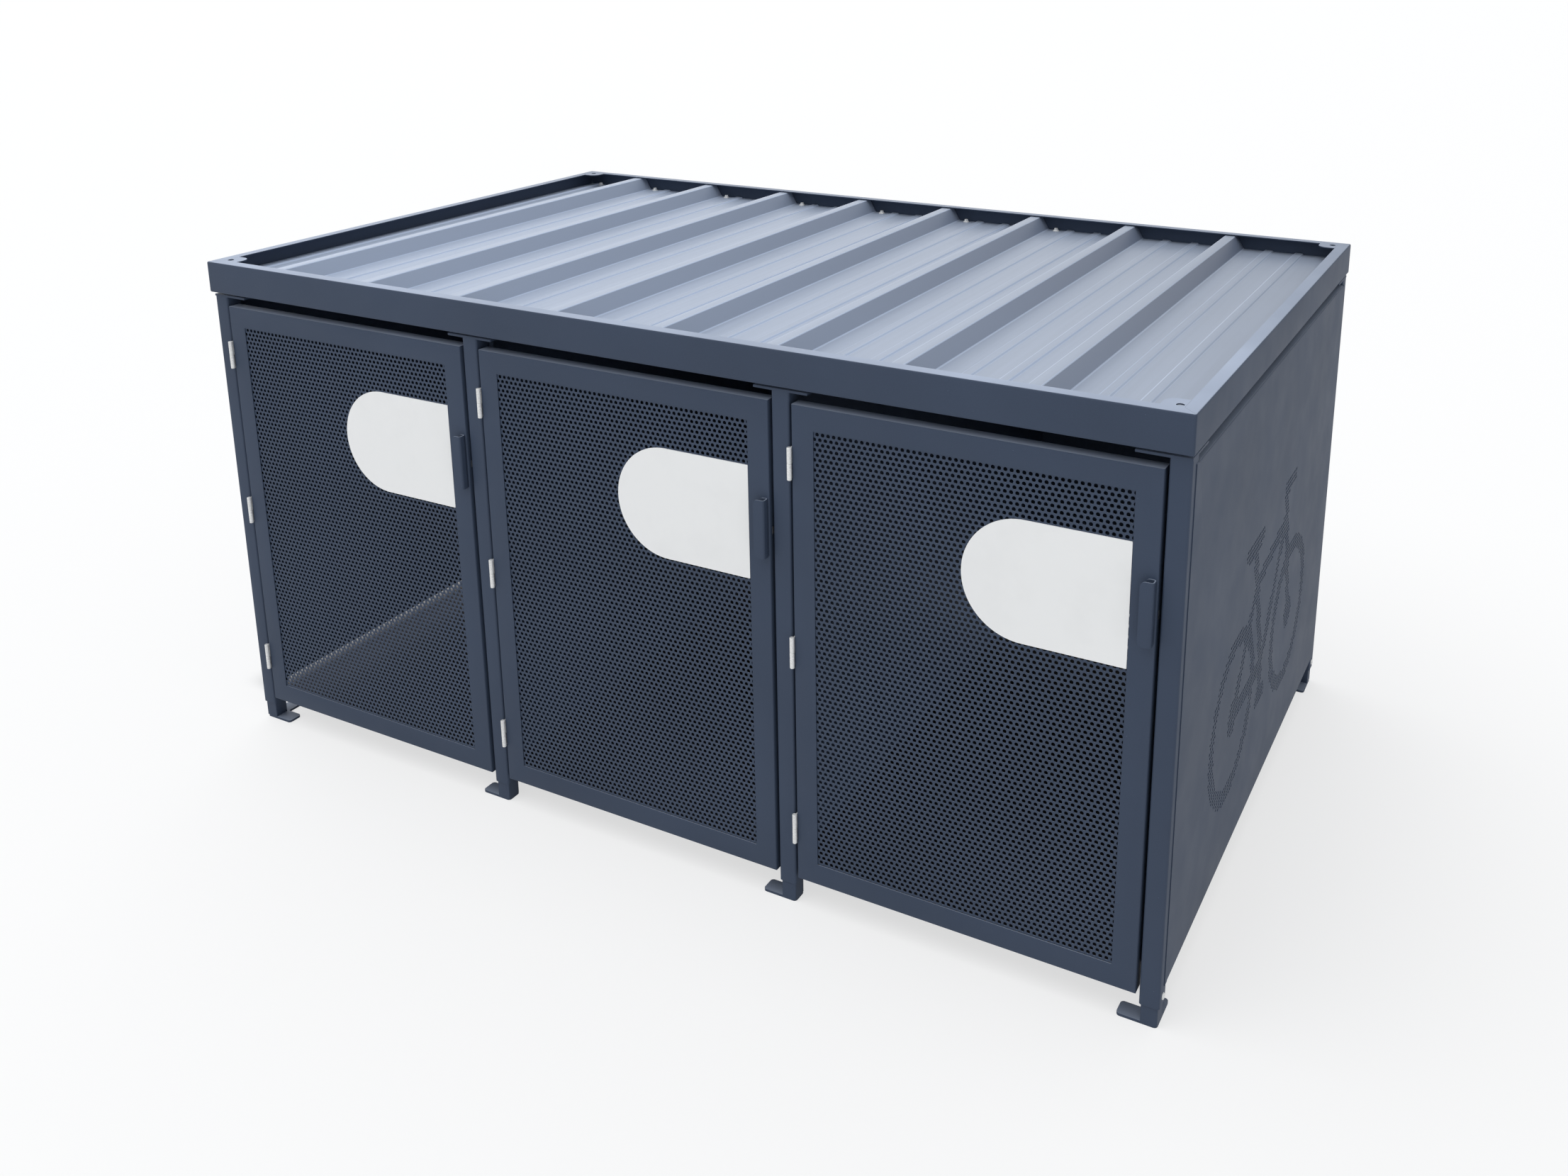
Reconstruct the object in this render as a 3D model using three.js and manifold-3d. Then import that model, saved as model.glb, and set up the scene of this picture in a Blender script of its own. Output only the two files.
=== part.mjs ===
// Bicycle locker with three bays side by side, perforated doors and a trapezoidal sheet roof.
// Millimetres. +X runs along the doors to the right, +Y to the back, +Z up. The doors face -Y.
import * as THREE from 'three';
import { mergeVertices } from 'three/addons/utils/BufferGeometryUtils.js';
import Module from 'manifold-3d';

// Overall size and number of bays
const ROOF_WIDTH = 2980;
const ROOF_DEPTH = 1825;
const LOCKER_HEIGHT = 1520;
const BAYS = 3;

// Roof frame of folded channel, mitred at the corners
const FASCIA_HEIGHT = 93;
const FRAME_WALL = 3;
const TOP_FLANGE = 35;
const BOTTOM_FLANGE = 60;
const CORNER_PLATE = 88;
const CORNER_PLATE_RADIUS = 30;
const LIFT_HOLE_RADIUS = 9;
const LIFT_HOLE_INSET = 48;
const MITRE_GAP = 0.3;

// Purlins and the trapezoidal roof sheet on them
const PURLIN_SIZE = 40;
const PURLIN_WALL = 3;
const PURLIN_GAP = 1;
const SHEET_THICKNESS = 1;
const SHEET_EDGE_GAP = 3;
const SHEET_TOP_GAP = 2;
const RIDGES = 8;
const RIDGE_PITCH = 336;
const FIRST_CREST_INSET = 256;
const CREST_WIDTH = 32;
const RIDGE_BASE = 82;
const SWAGES = [80, 175];
const SWAGE_BASE = 30;
const SWAGE_CREST = 22;
const SWAGE_HEIGHT = 4;

// Posts of square tube with a head plate and spacer discs under the roof frame
const POST_SIZE = 50;
const POST_WALL = 4;
const POST_RADIUS = 6;
const POST_LIFT = 56;
const POST_FRONT_INSET = 13;
const POST_SIDE_INSET = 5;
const POST_BACK_INSET = 5;
const HEAD_PLATE = 6;
const HEAD_ARM = 125;
const HEAD_BAR = 150;
const SPACER_HEIGHT = 8;
const SPACER_RADIUS = 14;
const SPACER_INSET = 20;

// Telescopic feet in the posts
const FOOT_CLEARANCE = 0.3;
const FOOT_WALL = 3;
const FOOT_RADIUS = 2;
const FOOT_TUBE = 210;
const FOOT_PLATE = 7;
const FOOT_ARM = 100;
const FOOT_PLATE_DEPTH = 45;
const FOOT_PLATE_RADIUS = 9;

// Wall panels and partitions
const PANEL = 2;
const PANEL_BOTTOM = 103;
const PANEL_TOP_GAP = 30;
const PANEL_SETBACK = 29;
const PANEL_LIP = 20;
const PANEL_CLEARANCE = 0.5;
const PARTITION_FLANGE = 40;

// Doors: folded frame open at the back, perforated sheet, blank plate
const DOOR_GAP = 7.5;
const DOOR_BOTTOM = 82;
const DOOR_TOP_GAP = 40;
const DOOR_PROUD = 4;
const DOOR_DEPTH = 40;
const DOOR_WALL = 2.5;
const DOOR_STILE = 60;
const DOOR_BACK_LIP = 20;
const MESH = 1.5;
const MESH_LAP = 15;
const MESH_BAR = 36;
const MESH_COLUMNS = 8;
const MESH_ROWS = 12;
const PLATE = 2;
const PLATE_WIDTH = 400;
const PLATE_HEIGHT = 303;
const PLATE_DROP = 329;
const PLATE_GAP = 1;

// Door handle: an edge pull bent from flat bar
const HANDLE_HEIGHT = 154;
const HANDLE_DROP = 331;
const HANDLE_GRIP = 31;
const HANDLE_STANDOFF = 22;
const HANDLE_WALL = 3;
const HANDLE_FOOT = 26;
const HANDLE_RADIUS = 13;
const HANDLE_INSET = 3.5;

// Lock: case in the closing stile, sliding bolt, strike slot and stop bar on the post
const LOCK_DROP = 342;
const CASE_WIDTH = 54;
const CASE_DEPTH = 26;
const CASE_HEIGHT = 120;
const BOLT_LENGTH = 48;
const BOLT_DEPTH = 10;
const BOLT_HEIGHT = 20;
const BOLT_CLEARANCE = 0.4;
const STRIKE_CLEARANCE = 1.5;
const STOP_BAR = 3;
const STOP_WIDTH = 18;
const STOP_GAP = 1;
const STOP_END_INSET = 60;

// Weld-on hinges: a lower half with the pin on the post, an upper half on the door
const HINGES = 3;
const HINGE_INSET = 150;
const HINGE_HEIGHT = 84;
const HINGE_RADIUS = 6;
const HINGE_GAP = 0.6;
const HINGE_PROUD = 5.2;
const HINGE_LEAF = 2.5;
const HINGE_LEAF_DEPTH = 25;
const PIN_RADIUS = 3;
const PIN_LENGTH = 34;
const PIN_CLEARANCE = 0.3;

// Shared by all cuts and joins
const OVERRUN = 2;
const WELD = 1;
const MERGE_DISTANCE = 1e-3;
const ARC_STEPS = 4;
const ROUND_SEGMENTS = 16;

// Derived levels and places
const frameBottom = LOCKER_HEIGHT - FASCIA_HEIGHT;
const plateTop = frameBottom - SPACER_HEIGHT;
const postTop = plateTop - HEAD_PLATE;
const purlinBottom = frameBottom + FRAME_WALL;
const sheetBottom = purlinBottom + PURLIN_SIZE;
const ridgeHeight = LOCKER_HEIGHT - FRAME_WALL - SHEET_TOP_GAP - SHEET_THICKNESS - sheetBottom;
const panelTop = frameBottom - PANEL_TOP_GAP;
const doorTop = frameBottom - DOOR_TOP_GAP;
const plateCentre = doorTop - PLATE_DROP;
const handleCentre = doorTop - HANDLE_DROP;
const lockCentre = doorTop - LOCK_DROP;
const outerPost = ROOF_WIDTH / 2 - POST_SIDE_INSET;
const firstPost = outerPost - POST_SIZE / 2;
const bayPitch = 2 * firstPost / BAYS;
const postFront = POST_FRONT_INSET;
const postBack = postFront + POST_SIZE;
const rearFace = ROOF_DEPTH - POST_BACK_INSET;
const doorFace = postFront - DOOR_PROUD;
const doorWidth = bayPitch - POST_SIZE - 2 * DOOR_GAP;
const handleFront = doorFace - HANDLE_STANDOFF;
const boltCentreY = doorFace + DOOR_WALL + MESH + CASE_DEPTH / 2;

// Powder-coated and metal finishes
const coat = { color: 0x464e5c, roughness: 0.45, metalness: 0.1 };
const roofCoat = { color: 0x5b6472, roughness: 0.4, metalness: 0.1 };
const paleCoat = { color: 0xe6e6e4, roughness: 0.5, metalness: 0 };
const zinc = { color: 0xc4c4c6, roughness: 0.35, metalness: 0.9 };
const lockMetal = { color: 0x9a9da2, roughness: 0.4, metalness: 0.9 };

const wasm = await Module();
wasm.setup();

// A closed geometry as a solid for joining and cutting
function solid(geometry) {
  const bare = new THREE.BufferGeometry();
  bare.setAttribute('position', geometry.getAttribute('position').clone());
  if (geometry.index) {
    bare.setIndex(geometry.index.clone());
  }
  const merged = mergeVertices(bare, MERGE_DISTANCE);
  return new wasm.Manifold(new wasm.Mesh({
    numProp: 3,
    vertProperties: new Float32Array(merged.getAttribute('position').array),
    triVerts: new Uint32Array(merged.index.array),
  }));
}

// A named mesh made from a finished solid
function piece(name, body, finish) {
  const mesh = body.getMesh();
  const geometry = new THREE.BufferGeometry();
  geometry.setAttribute('position', new THREE.BufferAttribute(new Float32Array(mesh.vertProperties), 3));
  geometry.setIndex(new THREE.BufferAttribute(new Uint32Array(mesh.triVerts), 1));
  geometry.computeVertexNormals();
  const made = new THREE.Mesh(geometry, new THREE.MeshStandardMaterial(finish));
  made.name = name;
  return made;
}

// Corners are [x, y] or [x, y, radius]; a radius rounds that corner with short straight steps
function rounded(corners) {
  const points = [];
  corners.forEach(([x, y, radius], k) => {
    const here = new THREE.Vector2(x, y);
    if (!radius) {
      points.push(here);
      return;
    }
    const before = corners[(k + corners.length - 1) % corners.length];
    const after = corners[(k + 1) % corners.length];
    const back = new THREE.Vector2(before[0] - x, before[1] - y).normalize();
    const ahead = new THREE.Vector2(after[0] - x, after[1] - y).normalize();
    const half = Math.acos(THREE.MathUtils.clamp(back.dot(ahead), -1, 1)) / 2;
    const middle = back.clone().add(ahead).normalize();
    const centre = here.clone().addScaledVector(middle, radius / Math.sin(half));
    const start = here.clone().addScaledVector(back, radius / Math.tan(half)).sub(centre);
    const end = here.clone().addScaledVector(ahead, radius / Math.tan(half)).sub(centre);
    const sweep = Math.atan2(start.cross(end), start.dot(end));
    for (let step = 0; step <= ARC_STEPS; step += 1) {
      const turned = start.clone().rotateAround(new THREE.Vector2(), sweep * step / ARC_STEPS);
      points.push(centre.clone().add(turned));
    }
  });
  return points;
}

function rectangle(x0, y0, x1, y1, radius = 0) {
  return [[x0, y0, radius], [x1, y0, radius], [x1, y1, radius], [x0, y1, radius]];
}

// A prism along one axis. The outline lies in (x, y) for Z, in (y, z) for X and in (x, z) for Y.
function prism(axis, corners, from, to, holes = []) {
  const shape = new THREE.Shape(rounded(corners));
  shape.holes = holes.map((hole) => new THREE.Path(rounded(hole)));
  const geometry = new THREE.ExtrudeGeometry(shape, { depth: to - from, bevelEnabled: false });
  const [x, y, z] = [[1, 0, 0], [0, 1, 0], [0, 0, 1]].map((unit) => new THREE.Vector3(...unit));
  const placing = new THREE.Matrix4();
  if (axis === 'X') {
    placing.makeBasis(y, z, x).setPosition(from, 0, 0);
  } else if (axis === 'Y') {
    placing.makeBasis(x, z, y.clone().negate()).setPosition(0, to, 0);
  } else {
    placing.makeTranslation(0, 0, from);
  }
  geometry.applyMatrix4(placing);
  return solid(geometry);
}

function block(x0, x1, y0, y1, z0, z1) {
  return prism('Z', rectangle(x0, y0, x1, y1), z0, z1);
}

// An upright cylinder at a place in plan
function upright(radius, x, y, from, to) {
  const geometry = new THREE.CylinderGeometry(radius, radius, to - from, ROUND_SEGMENTS);
  geometry.rotateX(Math.PI / 2);
  geometry.translate(x, y, (from + to) / 2);
  return solid(geometry);
}

function joined(...bodies) {
  return bodies.reduce((whole, next) => whole.add(next));
}

// Plan outline of a plate with two arms at a right angle, starting at its outer corner
function angleOutline(arm, width, towardsX, towardsY, radius) {
  const corners = [
    [0, 0, radius], [arm, 0, radius], [arm, width, radius], [width, width],
    [width, arm, radius], [0, arm, radius],
  ];
  const turned = corners.map(([x, y, r]) => [x * towardsX, y * towardsY, r]);
  return towardsX * towardsY > 0 ? turned : turned.reverse();
}

// Roof frame side, its outer face at y = 0 and its length centred on x = 0
function frameSide(name, length, withCornerPlates) {
  const reach = Math.max(TOP_FLANGE, BOTTOM_FLANGE, CORNER_PLATE) + OVERRUN;
  const flangeBottom = LOCKER_HEIGHT - FRAME_WALL;
  const channel = prism('X', [
    [0, frameBottom], [BOTTOM_FLANGE, frameBottom], [BOTTOM_FLANGE, purlinBottom],
    [FRAME_WALL, purlinBottom], [FRAME_WALL, flangeBottom],
    [TOP_FLANGE, flangeBottom], [TOP_FLANGE, LOCKER_HEIGHT], [0, LOCKER_HEIGHT],
  ], -length / 2, length / 2);
  const shift = withCornerPlates ? 0 : MITRE_GAP * Math.SQRT2;
  const end = length / 2 - shift;
  const mitres = prism('Z', [[-end, 0], [end, 0], [end - reach, reach], [reach - end, reach]],
    frameBottom - OVERRUN, LOCKER_HEIGHT + OVERRUN);
  let body = channel.intersect(mitres);
  for (const side of [-1, 1]) {
    const outer = side * length / 2;
    const inner = side * (length / 2 - CORNER_PLATE);
    if (withCornerPlates) {
      const corners = [
        [outer, 0], [inner, 0], [inner, CORNER_PLATE, CORNER_PLATE_RADIUS], [outer, CORNER_PLATE],
      ];
      const outline = side < 0 ? corners : corners.reverse();
      const plate = prism('Z', outline, flangeBottom, LOCKER_HEIGHT);
      const hole = upright(LIFT_HOLE_RADIUS, side * (length / 2 - LIFT_HOLE_INSET), LIFT_HOLE_INSET,
        flangeBottom - OVERRUN, LOCKER_HEIGHT + OVERRUN);
      body = body.add(plate.subtract(hole));
    } else {
      const grown = side * (length / 2 - CORNER_PLATE - MITRE_GAP);
      body = body.subtract(block(Math.min(outer, grown), Math.max(outer, grown), -OVERRUN, reach,
        flangeBottom - MITRE_GAP, LOCKER_HEIGHT + OVERRUN));
    }
  }
  return piece(name, body, coat);
}

// Upper line of the roof sheet from left to right, above its valley level
function sheetLine(left, right) {
  const line = [[left, 0]];
  const rise = (centre, base, crest, height) => {
    if (centre - base / 2 > left && centre + base / 2 < right) {
      line.push([centre - base / 2, 0], [centre - crest / 2, height],
        [centre + crest / 2, height], [centre + base / 2, 0]);
    }
  };
  for (let k = -1; k < RIDGES; k += 1) {
    const crest = k * RIDGE_PITCH + FIRST_CREST_INSET - ROOF_WIDTH / 2;
    rise(crest, RIDGE_BASE, CREST_WIDTH, ridgeHeight);
    for (const distance of SWAGES) {
      rise(crest + RIDGE_BASE / 2 + distance, SWAGE_BASE, SWAGE_CREST, SWAGE_HEIGHT);
    }
  }
  line.push([right, 0]);
  return line;
}

function roofSheet() {
  const edge = ROOF_WIDTH / 2 - FRAME_WALL - SHEET_EDGE_GAP;
  const line = sheetLine(-edge, edge);
  const under = line.map(([x, z]) => [x, sheetBottom + z]);
  const over = line.map(([x, z]) => [x, sheetBottom + z + SHEET_THICKNESS]).reverse();
  const inset = FRAME_WALL + SHEET_EDGE_GAP;
  return piece('roof_sheet', prism('Y', [...under, ...over], inset, ROOF_DEPTH - inset), roofCoat);
}

function purlin(name, y) {
  const end = ROOF_WIDTH / 2 - FRAME_WALL - PURLIN_GAP;
  const wall = PURLIN_WALL;
  const body = prism('X', rectangle(y, purlinBottom, y + PURLIN_SIZE, sheetBottom), -end, end,
    [rectangle(y + wall, purlinBottom + wall, y + PURLIN_SIZE - wall, sheetBottom - wall)]);
  return piece(name, body, coat);
}

// Post centred on its own origin in plan. Arms of a corner post point towards the locker's middle.
// A closing post also has the strike slot and the stop bar of the door on its left.
function post(name, { towardsX, towardsY, closes }) {
  const half = POST_SIZE / 2;
  const hollow = half - POST_WALL;
  const tube = prism('Z', rectangle(-half, -half, half, half, POST_RADIUS), POST_LIFT, postTop + WELD,
    [rectangle(-hollow, -hollow, hollow, hollow)]);
  let plate;
  let discs;
  if (towardsX) {
    const outline = angleOutline(HEAD_ARM, POST_SIZE, towardsX, towardsY, 0)
      .map(([x, y]) => [x - towardsX * half, y - towardsY * half]);
    plate = prism('Z', outline, postTop, plateTop);
    const far = HEAD_ARM - half - SPACER_INSET;
    discs = [[towardsX * far, 0], [0, towardsY * far]];
  } else {
    plate = block(-HEAD_BAR / 2, HEAD_BAR / 2, -half, half, postTop, plateTop);
    const far = HEAD_BAR / 2 - SPACER_INSET;
    discs = [[-far, 0], [far, 0]];
  }
  const spacers = discs.map(([x, y]) => upright(SPACER_RADIUS, x, y, plateTop - WELD, frameBottom));
  let body = joined(tube, plate, ...spacers);
  if (closes) {
    const stopFront = doorFace + DOOR_DEPTH + STOP_GAP - postFront - half;
    body = body.add(block(-half - STOP_WIDTH, -half + WELD, stopFront, stopFront + STOP_BAR,
      DOOR_BOTTOM + STOP_END_INSET, doorTop - STOP_END_INSET));
    const slotY = boltCentreY - postFront - half;
    const slotHalf = BOLT_DEPTH / 2 + STRIKE_CLEARANCE;
    const slotRise = BOLT_HEIGHT / 2 + STRIKE_CLEARANCE;
    body = body.subtract(block(-half - OVERRUN, -hollow + OVERRUN, slotY - slotHalf, slotY + slotHalf,
      lockCentre - slotRise, lockCentre + slotRise));
  }
  return piece(name, body, coat);
}

// Foot centred on its own origin in plan. A middle foot's plate reaches to the left.
function foot(name, { towardsX, towardsY }) {
  const half = POST_SIZE / 2 - POST_WALL - FOOT_CLEARANCE;
  const hollow = half - FOOT_WALL;
  const tube = prism('Z', rectangle(-half, -half, half, half, FOOT_RADIUS), FOOT_PLATE - WELD,
    FOOT_PLATE + FOOT_TUBE, [rectangle(-hollow, -hollow, hollow, hollow)]);
  let outline;
  if (towardsX) {
    outline = angleOutline(FOOT_ARM, FOOT_PLATE_DEPTH, towardsX, towardsY, FOOT_PLATE_RADIUS)
      .map(([x, y, r]) => [x - towardsX * half, y - towardsY * half, r]);
  } else {
    outline = rectangle(half - FOOT_ARM, -half, half, FOOT_PLATE_DEPTH - half, FOOT_PLATE_RADIUS);
  }
  return piece(name, joined(tube, prism('Z', outline, 0, FOOT_PLATE)), coat);
}

// Outer wall skin with lips folded inwards at its top and bottom, drawn for the right side
function sidePanel(name, side) {
  const skin = outerPost + PANEL;
  const lip = outerPost - PANEL_LIP;
  const front = postFront + PANEL_SETBACK;
  const back = rearFace - PANEL_SETBACK;
  const lipFront = postBack + PANEL_CLEARANCE;
  const lipBack = rearFace - POST_SIZE - PANEL_CLEARANCE;
  const across = (inner, outer) => (side > 0 ? [inner, outer] : [-outer, -inner]);
  const body = joined(
    block(...across(outerPost, skin), front, back, PANEL_BOTTOM, panelTop),
    block(...across(lip, skin - WELD), lipFront, lipBack, PANEL_BOTTOM, PANEL_BOTTOM + PANEL),
    block(...across(lip, skin - WELD), lipFront, lipBack, panelTop - PANEL, panelTop),
  );
  return piece(name, body, coat);
}

function backPanel() {
  const edge = outerPost - PANEL_SETBACK;
  const lipEdge = outerPost - POST_SIZE - PANEL_CLEARANCE;
  const skin = rearFace + PANEL;
  const lip = rearFace - PANEL_LIP;
  const body = joined(
    block(-edge, edge, rearFace, skin, PANEL_BOTTOM, panelTop),
    block(-lipEdge, lipEdge, lip, skin - WELD, PANEL_BOTTOM, PANEL_BOTTOM + PANEL),
    block(-lipEdge, lipEdge, lip, skin - WELD, panelTop - PANEL, panelTop),
  );
  return piece('back_panel', body, coat);
}

// Sheet wall between two bays, flanged onto the post in front and the back panel behind.
// It is drawn from the middle post's centre line, its flanges pointing to one side.
function partition(name, side) {
  const half = PANEL / 2;
  const flange = PARTITION_FLANGE - half;
  const low = PANEL_BOTTOM + PANEL + PANEL_CLEARANCE;
  const high = panelTop - PANEL - PANEL_CLEARANCE;
  const corners = [
    [-half, postBack], [flange, postBack], [flange, postBack + PANEL], [half, postBack + PANEL],
    [half, rearFace - PANEL], [flange, rearFace - PANEL], [flange, rearFace], [-half, rearFace],
  ].map(([x, y]) => [x * side, y]);
  return piece(name, prism('Z', side > 0 ? corners : corners.reverse(), low, high), coat);
}

// Everything on a door is drawn from the door's left edge and its front face
function doorFrame(name) {
  const outer = rectangle(0, DOOR_BOTTOM, doorWidth, doorTop);
  const inset = (by) => rectangle(by, DOOR_BOTTOM + by, doorWidth - by, doorTop - by);
  const body = joined(
    prism('Y', outer, 0, DOOR_WALL, [inset(DOOR_STILE)]),
    prism('Y', outer, 0, DOOR_DEPTH, [inset(DOOR_WALL)]),
    prism('Y', outer, DOOR_DEPTH - DOOR_WALL, DOOR_DEPTH, [inset(DOOR_BACK_LIP)]),
  );
  const slotY = boltCentreY - doorFace;
  const slotHalf = BOLT_DEPTH / 2 + BOLT_CLEARANCE;
  const slotRise = BOLT_HEIGHT / 2 + BOLT_CLEARANCE;
  const slot = block(doorWidth - DOOR_WALL - OVERRUN, doorWidth + OVERRUN,
    slotY - slotHalf, slotY + slotHalf, lockCentre - slotRise, lockCentre + slotRise);
  return piece(name, body.subtract(slot), coat);
}

// Perforated sheet behind the frame. A plain grid of square openings stands for its many small
// holes and leaves about the same share of the window open.
function doorMesh(name) {
  const edge = DOOR_STILE - MESH_LAP;
  const back = DOOR_WALL + MESH;
  const windowBottom = DOOR_BOTTOM + DOOR_STILE;
  const across = (doorWidth - 2 * DOOR_STILE) / MESH_COLUMNS;
  const up = (doorTop - DOOR_STILE - windowBottom) / MESH_ROWS;
  const openings = [];
  for (let column = 0; column < MESH_COLUMNS; column += 1) {
    const left = DOOR_STILE + column * across + MESH_BAR / 2;
    for (let row = 0; row < MESH_ROWS; row += 1) {
      const low = windowBottom + row * up + MESH_BAR / 2;
      openings.push(block(left, left + across - MESH_BAR, DOOR_WALL - OVERRUN, back + OVERRUN,
        low, low + up - MESH_BAR));
    }
  }
  const sheet = block(edge, doorWidth - edge, DOOR_WALL, back, DOOR_BOTTOM + edge, doorTop - edge);
  return piece(name, sheet.subtract(joined(...openings)), coat);
}

// Blank plate in the window with a half-round left end
function doorPlate(name) {
  const right = doorWidth - DOOR_STILE - PLATE_GAP;
  const left = right - PLATE_WIDTH;
  const radius = PLATE_HEIGHT / 2;
  const corners = [[right, plateCentre - radius], [right, plateCentre + radius]];
  for (let step = 0; step <= ROUND_SEGMENTS; step += 1) {
    const angle = Math.PI / 2 + Math.PI * step / ROUND_SEGMENTS;
    corners.push([left + radius + radius * Math.cos(angle), plateCentre + radius * Math.sin(angle)]);
  }
  return piece(name, prism('Y', corners, DOOR_WALL - PLATE, DOOR_WALL), paleCoat);
}

// Grip plate in front, a web back to the stile at its right, and a foot on the stile
function doorHandle(name) {
  const right = doorWidth - HANDLE_INSET;
  const low = handleCentre - HANDLE_HEIGHT / 2;
  const high = handleCentre + HANDLE_HEIGHT / 2;
  const strap = (width, radius) => [
    [right - width, low, radius], [right, low], [right, high], [right - width, high, radius],
  ];
  const body = joined(
    prism('Y', strap(HANDLE_GRIP, HANDLE_RADIUS), -HANDLE_STANDOFF, HANDLE_WALL - HANDLE_STANDOFF),
    block(right - HANDLE_WALL, right, -HANDLE_STANDOFF, 0, low, high),
    prism('Y', strap(HANDLE_FOOT, HANDLE_RADIUS), -HANDLE_WALL, 0),
  );
  return piece(name, body, coat);
}

function lockCase(name) {
  const right = doorWidth - DOOR_WALL;
  const front = DOOR_WALL + MESH;
  const middle = boltCentreY - doorFace;
  const slotHalf = BOLT_DEPTH / 2 + BOLT_CLEARANCE;
  const slotRise = BOLT_HEIGHT / 2 + BOLT_CLEARANCE;
  const box = block(right - CASE_WIDTH, right, front, front + CASE_DEPTH,
    lockCentre - CASE_HEIGHT / 2, lockCentre + CASE_HEIGHT / 2);
  const channel = block(doorWidth - BOLT_LENGTH - BOLT_CLEARANCE, right + OVERRUN,
    middle - slotHalf, middle + slotHalf, lockCentre - slotRise, lockCentre + slotRise);
  return piece(name, box.subtract(channel), lockMetal);
}

// The bolt is drawn withdrawn, with its nose level with the door's edge
function lockBolt(name) {
  const middle = boltCentreY - doorFace;
  const body = block(doorWidth - BOLT_LENGTH, doorWidth, middle - BOLT_DEPTH / 2, middle + BOLT_DEPTH / 2,
    lockCentre - BOLT_HEIGHT / 2, lockCentre + BOLT_HEIGHT / 2);
  return piece(name, body, zinc);
}

// Hinge halves are drawn from the hinge's axis, at the middle of its height
function hingeLower(name) {
  const low = -HINGE_HEIGHT / 2;
  const high = -HINGE_GAP / 2;
  const body = joined(
    upright(HINGE_RADIUS, 0, 0, low, high),
    block(-DOOR_GAP / 2, HINGE_LEAF - DOOR_GAP / 2, 0, HINGE_PROUD + HINGE_LEAF_DEPTH, low, high),
    upright(PIN_RADIUS, 0, 0, high - WELD, high + PIN_LENGTH),
  );
  return piece(name, body, zinc);
}

function hingeUpper(name) {
  const low = HINGE_GAP / 2;
  const high = HINGE_HEIGHT / 2;
  const body = joined(
    upright(HINGE_RADIUS, 0, 0, low, high),
    block(DOOR_GAP / 2 - HINGE_LEAF, DOOR_GAP / 2, 0, HINGE_PROUD + HINGE_LEAF_DEPTH, low, high),
  );
  const bore = upright(PIN_RADIUS + PIN_CLEARANCE, 0, 0, low - OVERRUN, low + PIN_LENGTH + WELD);
  return piece(name, body.subtract(bore), zinc);
}

function placed(object, x, y, z, turn = 0) {
  object.position.set(x, y, z);
  object.rotation.z = turn;
  return object;
}

// The locker is centred over its whole depth, handles included
const locker = new THREE.Group();
locker.position.y = -(handleFront + ROOF_DEPTH) / 2;

locker.add(placed(frameSide('roof_frame_front', ROOF_WIDTH, true), 0, 0, 0));
locker.add(placed(frameSide('roof_frame_back', ROOF_WIDTH, true), 0, ROOF_DEPTH, 0, Math.PI));
locker.add(placed(frameSide('roof_frame_left', ROOF_DEPTH, false),
  -ROOF_WIDTH / 2, ROOF_DEPTH / 2, 0, -Math.PI / 2));
locker.add(placed(frameSide('roof_frame_right', ROOF_DEPTH, false),
  ROOF_WIDTH / 2, ROOF_DEPTH / 2, 0, Math.PI / 2));
locker.add(roofSheet());
locker.add(purlin('purlin_front', FRAME_WALL + PURLIN_GAP));
locker.add(purlin('purlin_back', ROOF_DEPTH - FRAME_WALL - PURLIN_GAP - PURLIN_SIZE));

for (let k = 0; k <= BAYS; k += 1) {
  const x = k * bayPitch - firstPost;
  const y = postFront + POST_SIZE / 2;
  const corner = { 0: 1, [BAYS]: -1 }[k] ?? 0;
  const arms = { towardsX: corner, towardsY: 1, closes: k > 0 };
  locker.add(placed(post(`post_front_${k + 1}`, arms), x, y, 0));
  locker.add(placed(foot(`foot_front_${k + 1}`, arms), x, y, 0));
}
for (const [name, side] of [['left', -1], ['right', 1]]) {
  const y = rearFace - POST_SIZE / 2;
  const arms = { towardsX: -side, towardsY: -1, closes: false };
  locker.add(placed(post(`post_back_${name}`, arms), side * firstPost, y, 0));
  locker.add(placed(foot(`foot_back_${name}`, arms), side * firstPost, y, 0));
  locker.add(sidePanel(`side_panel_${name}`, side));
}
locker.add(backPanel());
for (let k = 1; k < BAYS; k += 1) {
  const x = k * bayPitch - firstPost;
  locker.add(placed(partition(`partition_${k}`, x < 0 ? 1 : -1), x, 0, 0));
}

for (let k = 0; k < BAYS; k += 1) {
  const bay = k + 1;
  const postRight = k * bayPitch - firstPost + POST_SIZE / 2;
  const door = placed(new THREE.Group(), postRight + DOOR_GAP, doorFace, 0);
  door.add(doorFrame(`door_${bay}_frame`));
  door.add(doorMesh(`door_${bay}_perforated_sheet`));
  door.add(doorPlate(`door_${bay}_blank_plate`));
  door.add(doorHandle(`door_${bay}_handle`));
  door.add(lockCase(`door_${bay}_lock_case`));
  door.add(lockBolt(`door_${bay}_lock_bolt`));
  locker.add(door);
  for (let h = 0; h < HINGES; h += 1) {
    const z = THREE.MathUtils.lerp(DOOR_BOTTOM + HINGE_INSET, doorTop - HINGE_INSET, h / (HINGES - 1));
    const axis = [postRight + DOOR_GAP / 2, doorFace - HINGE_PROUD, z];
    locker.add(placed(hingeLower(`hinge_${bay}_${h + 1}_post_half`), ...axis));
    locker.add(placed(hingeUpper(`hinge_${bay}_${h + 1}_door_half`), ...axis));
  }
}

locker.updateMatrixWorld(true);

export default locker;
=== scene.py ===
"""Bicycle locker with three bays: the looks around its packed model, laid out as an add-on."""
import math

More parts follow.
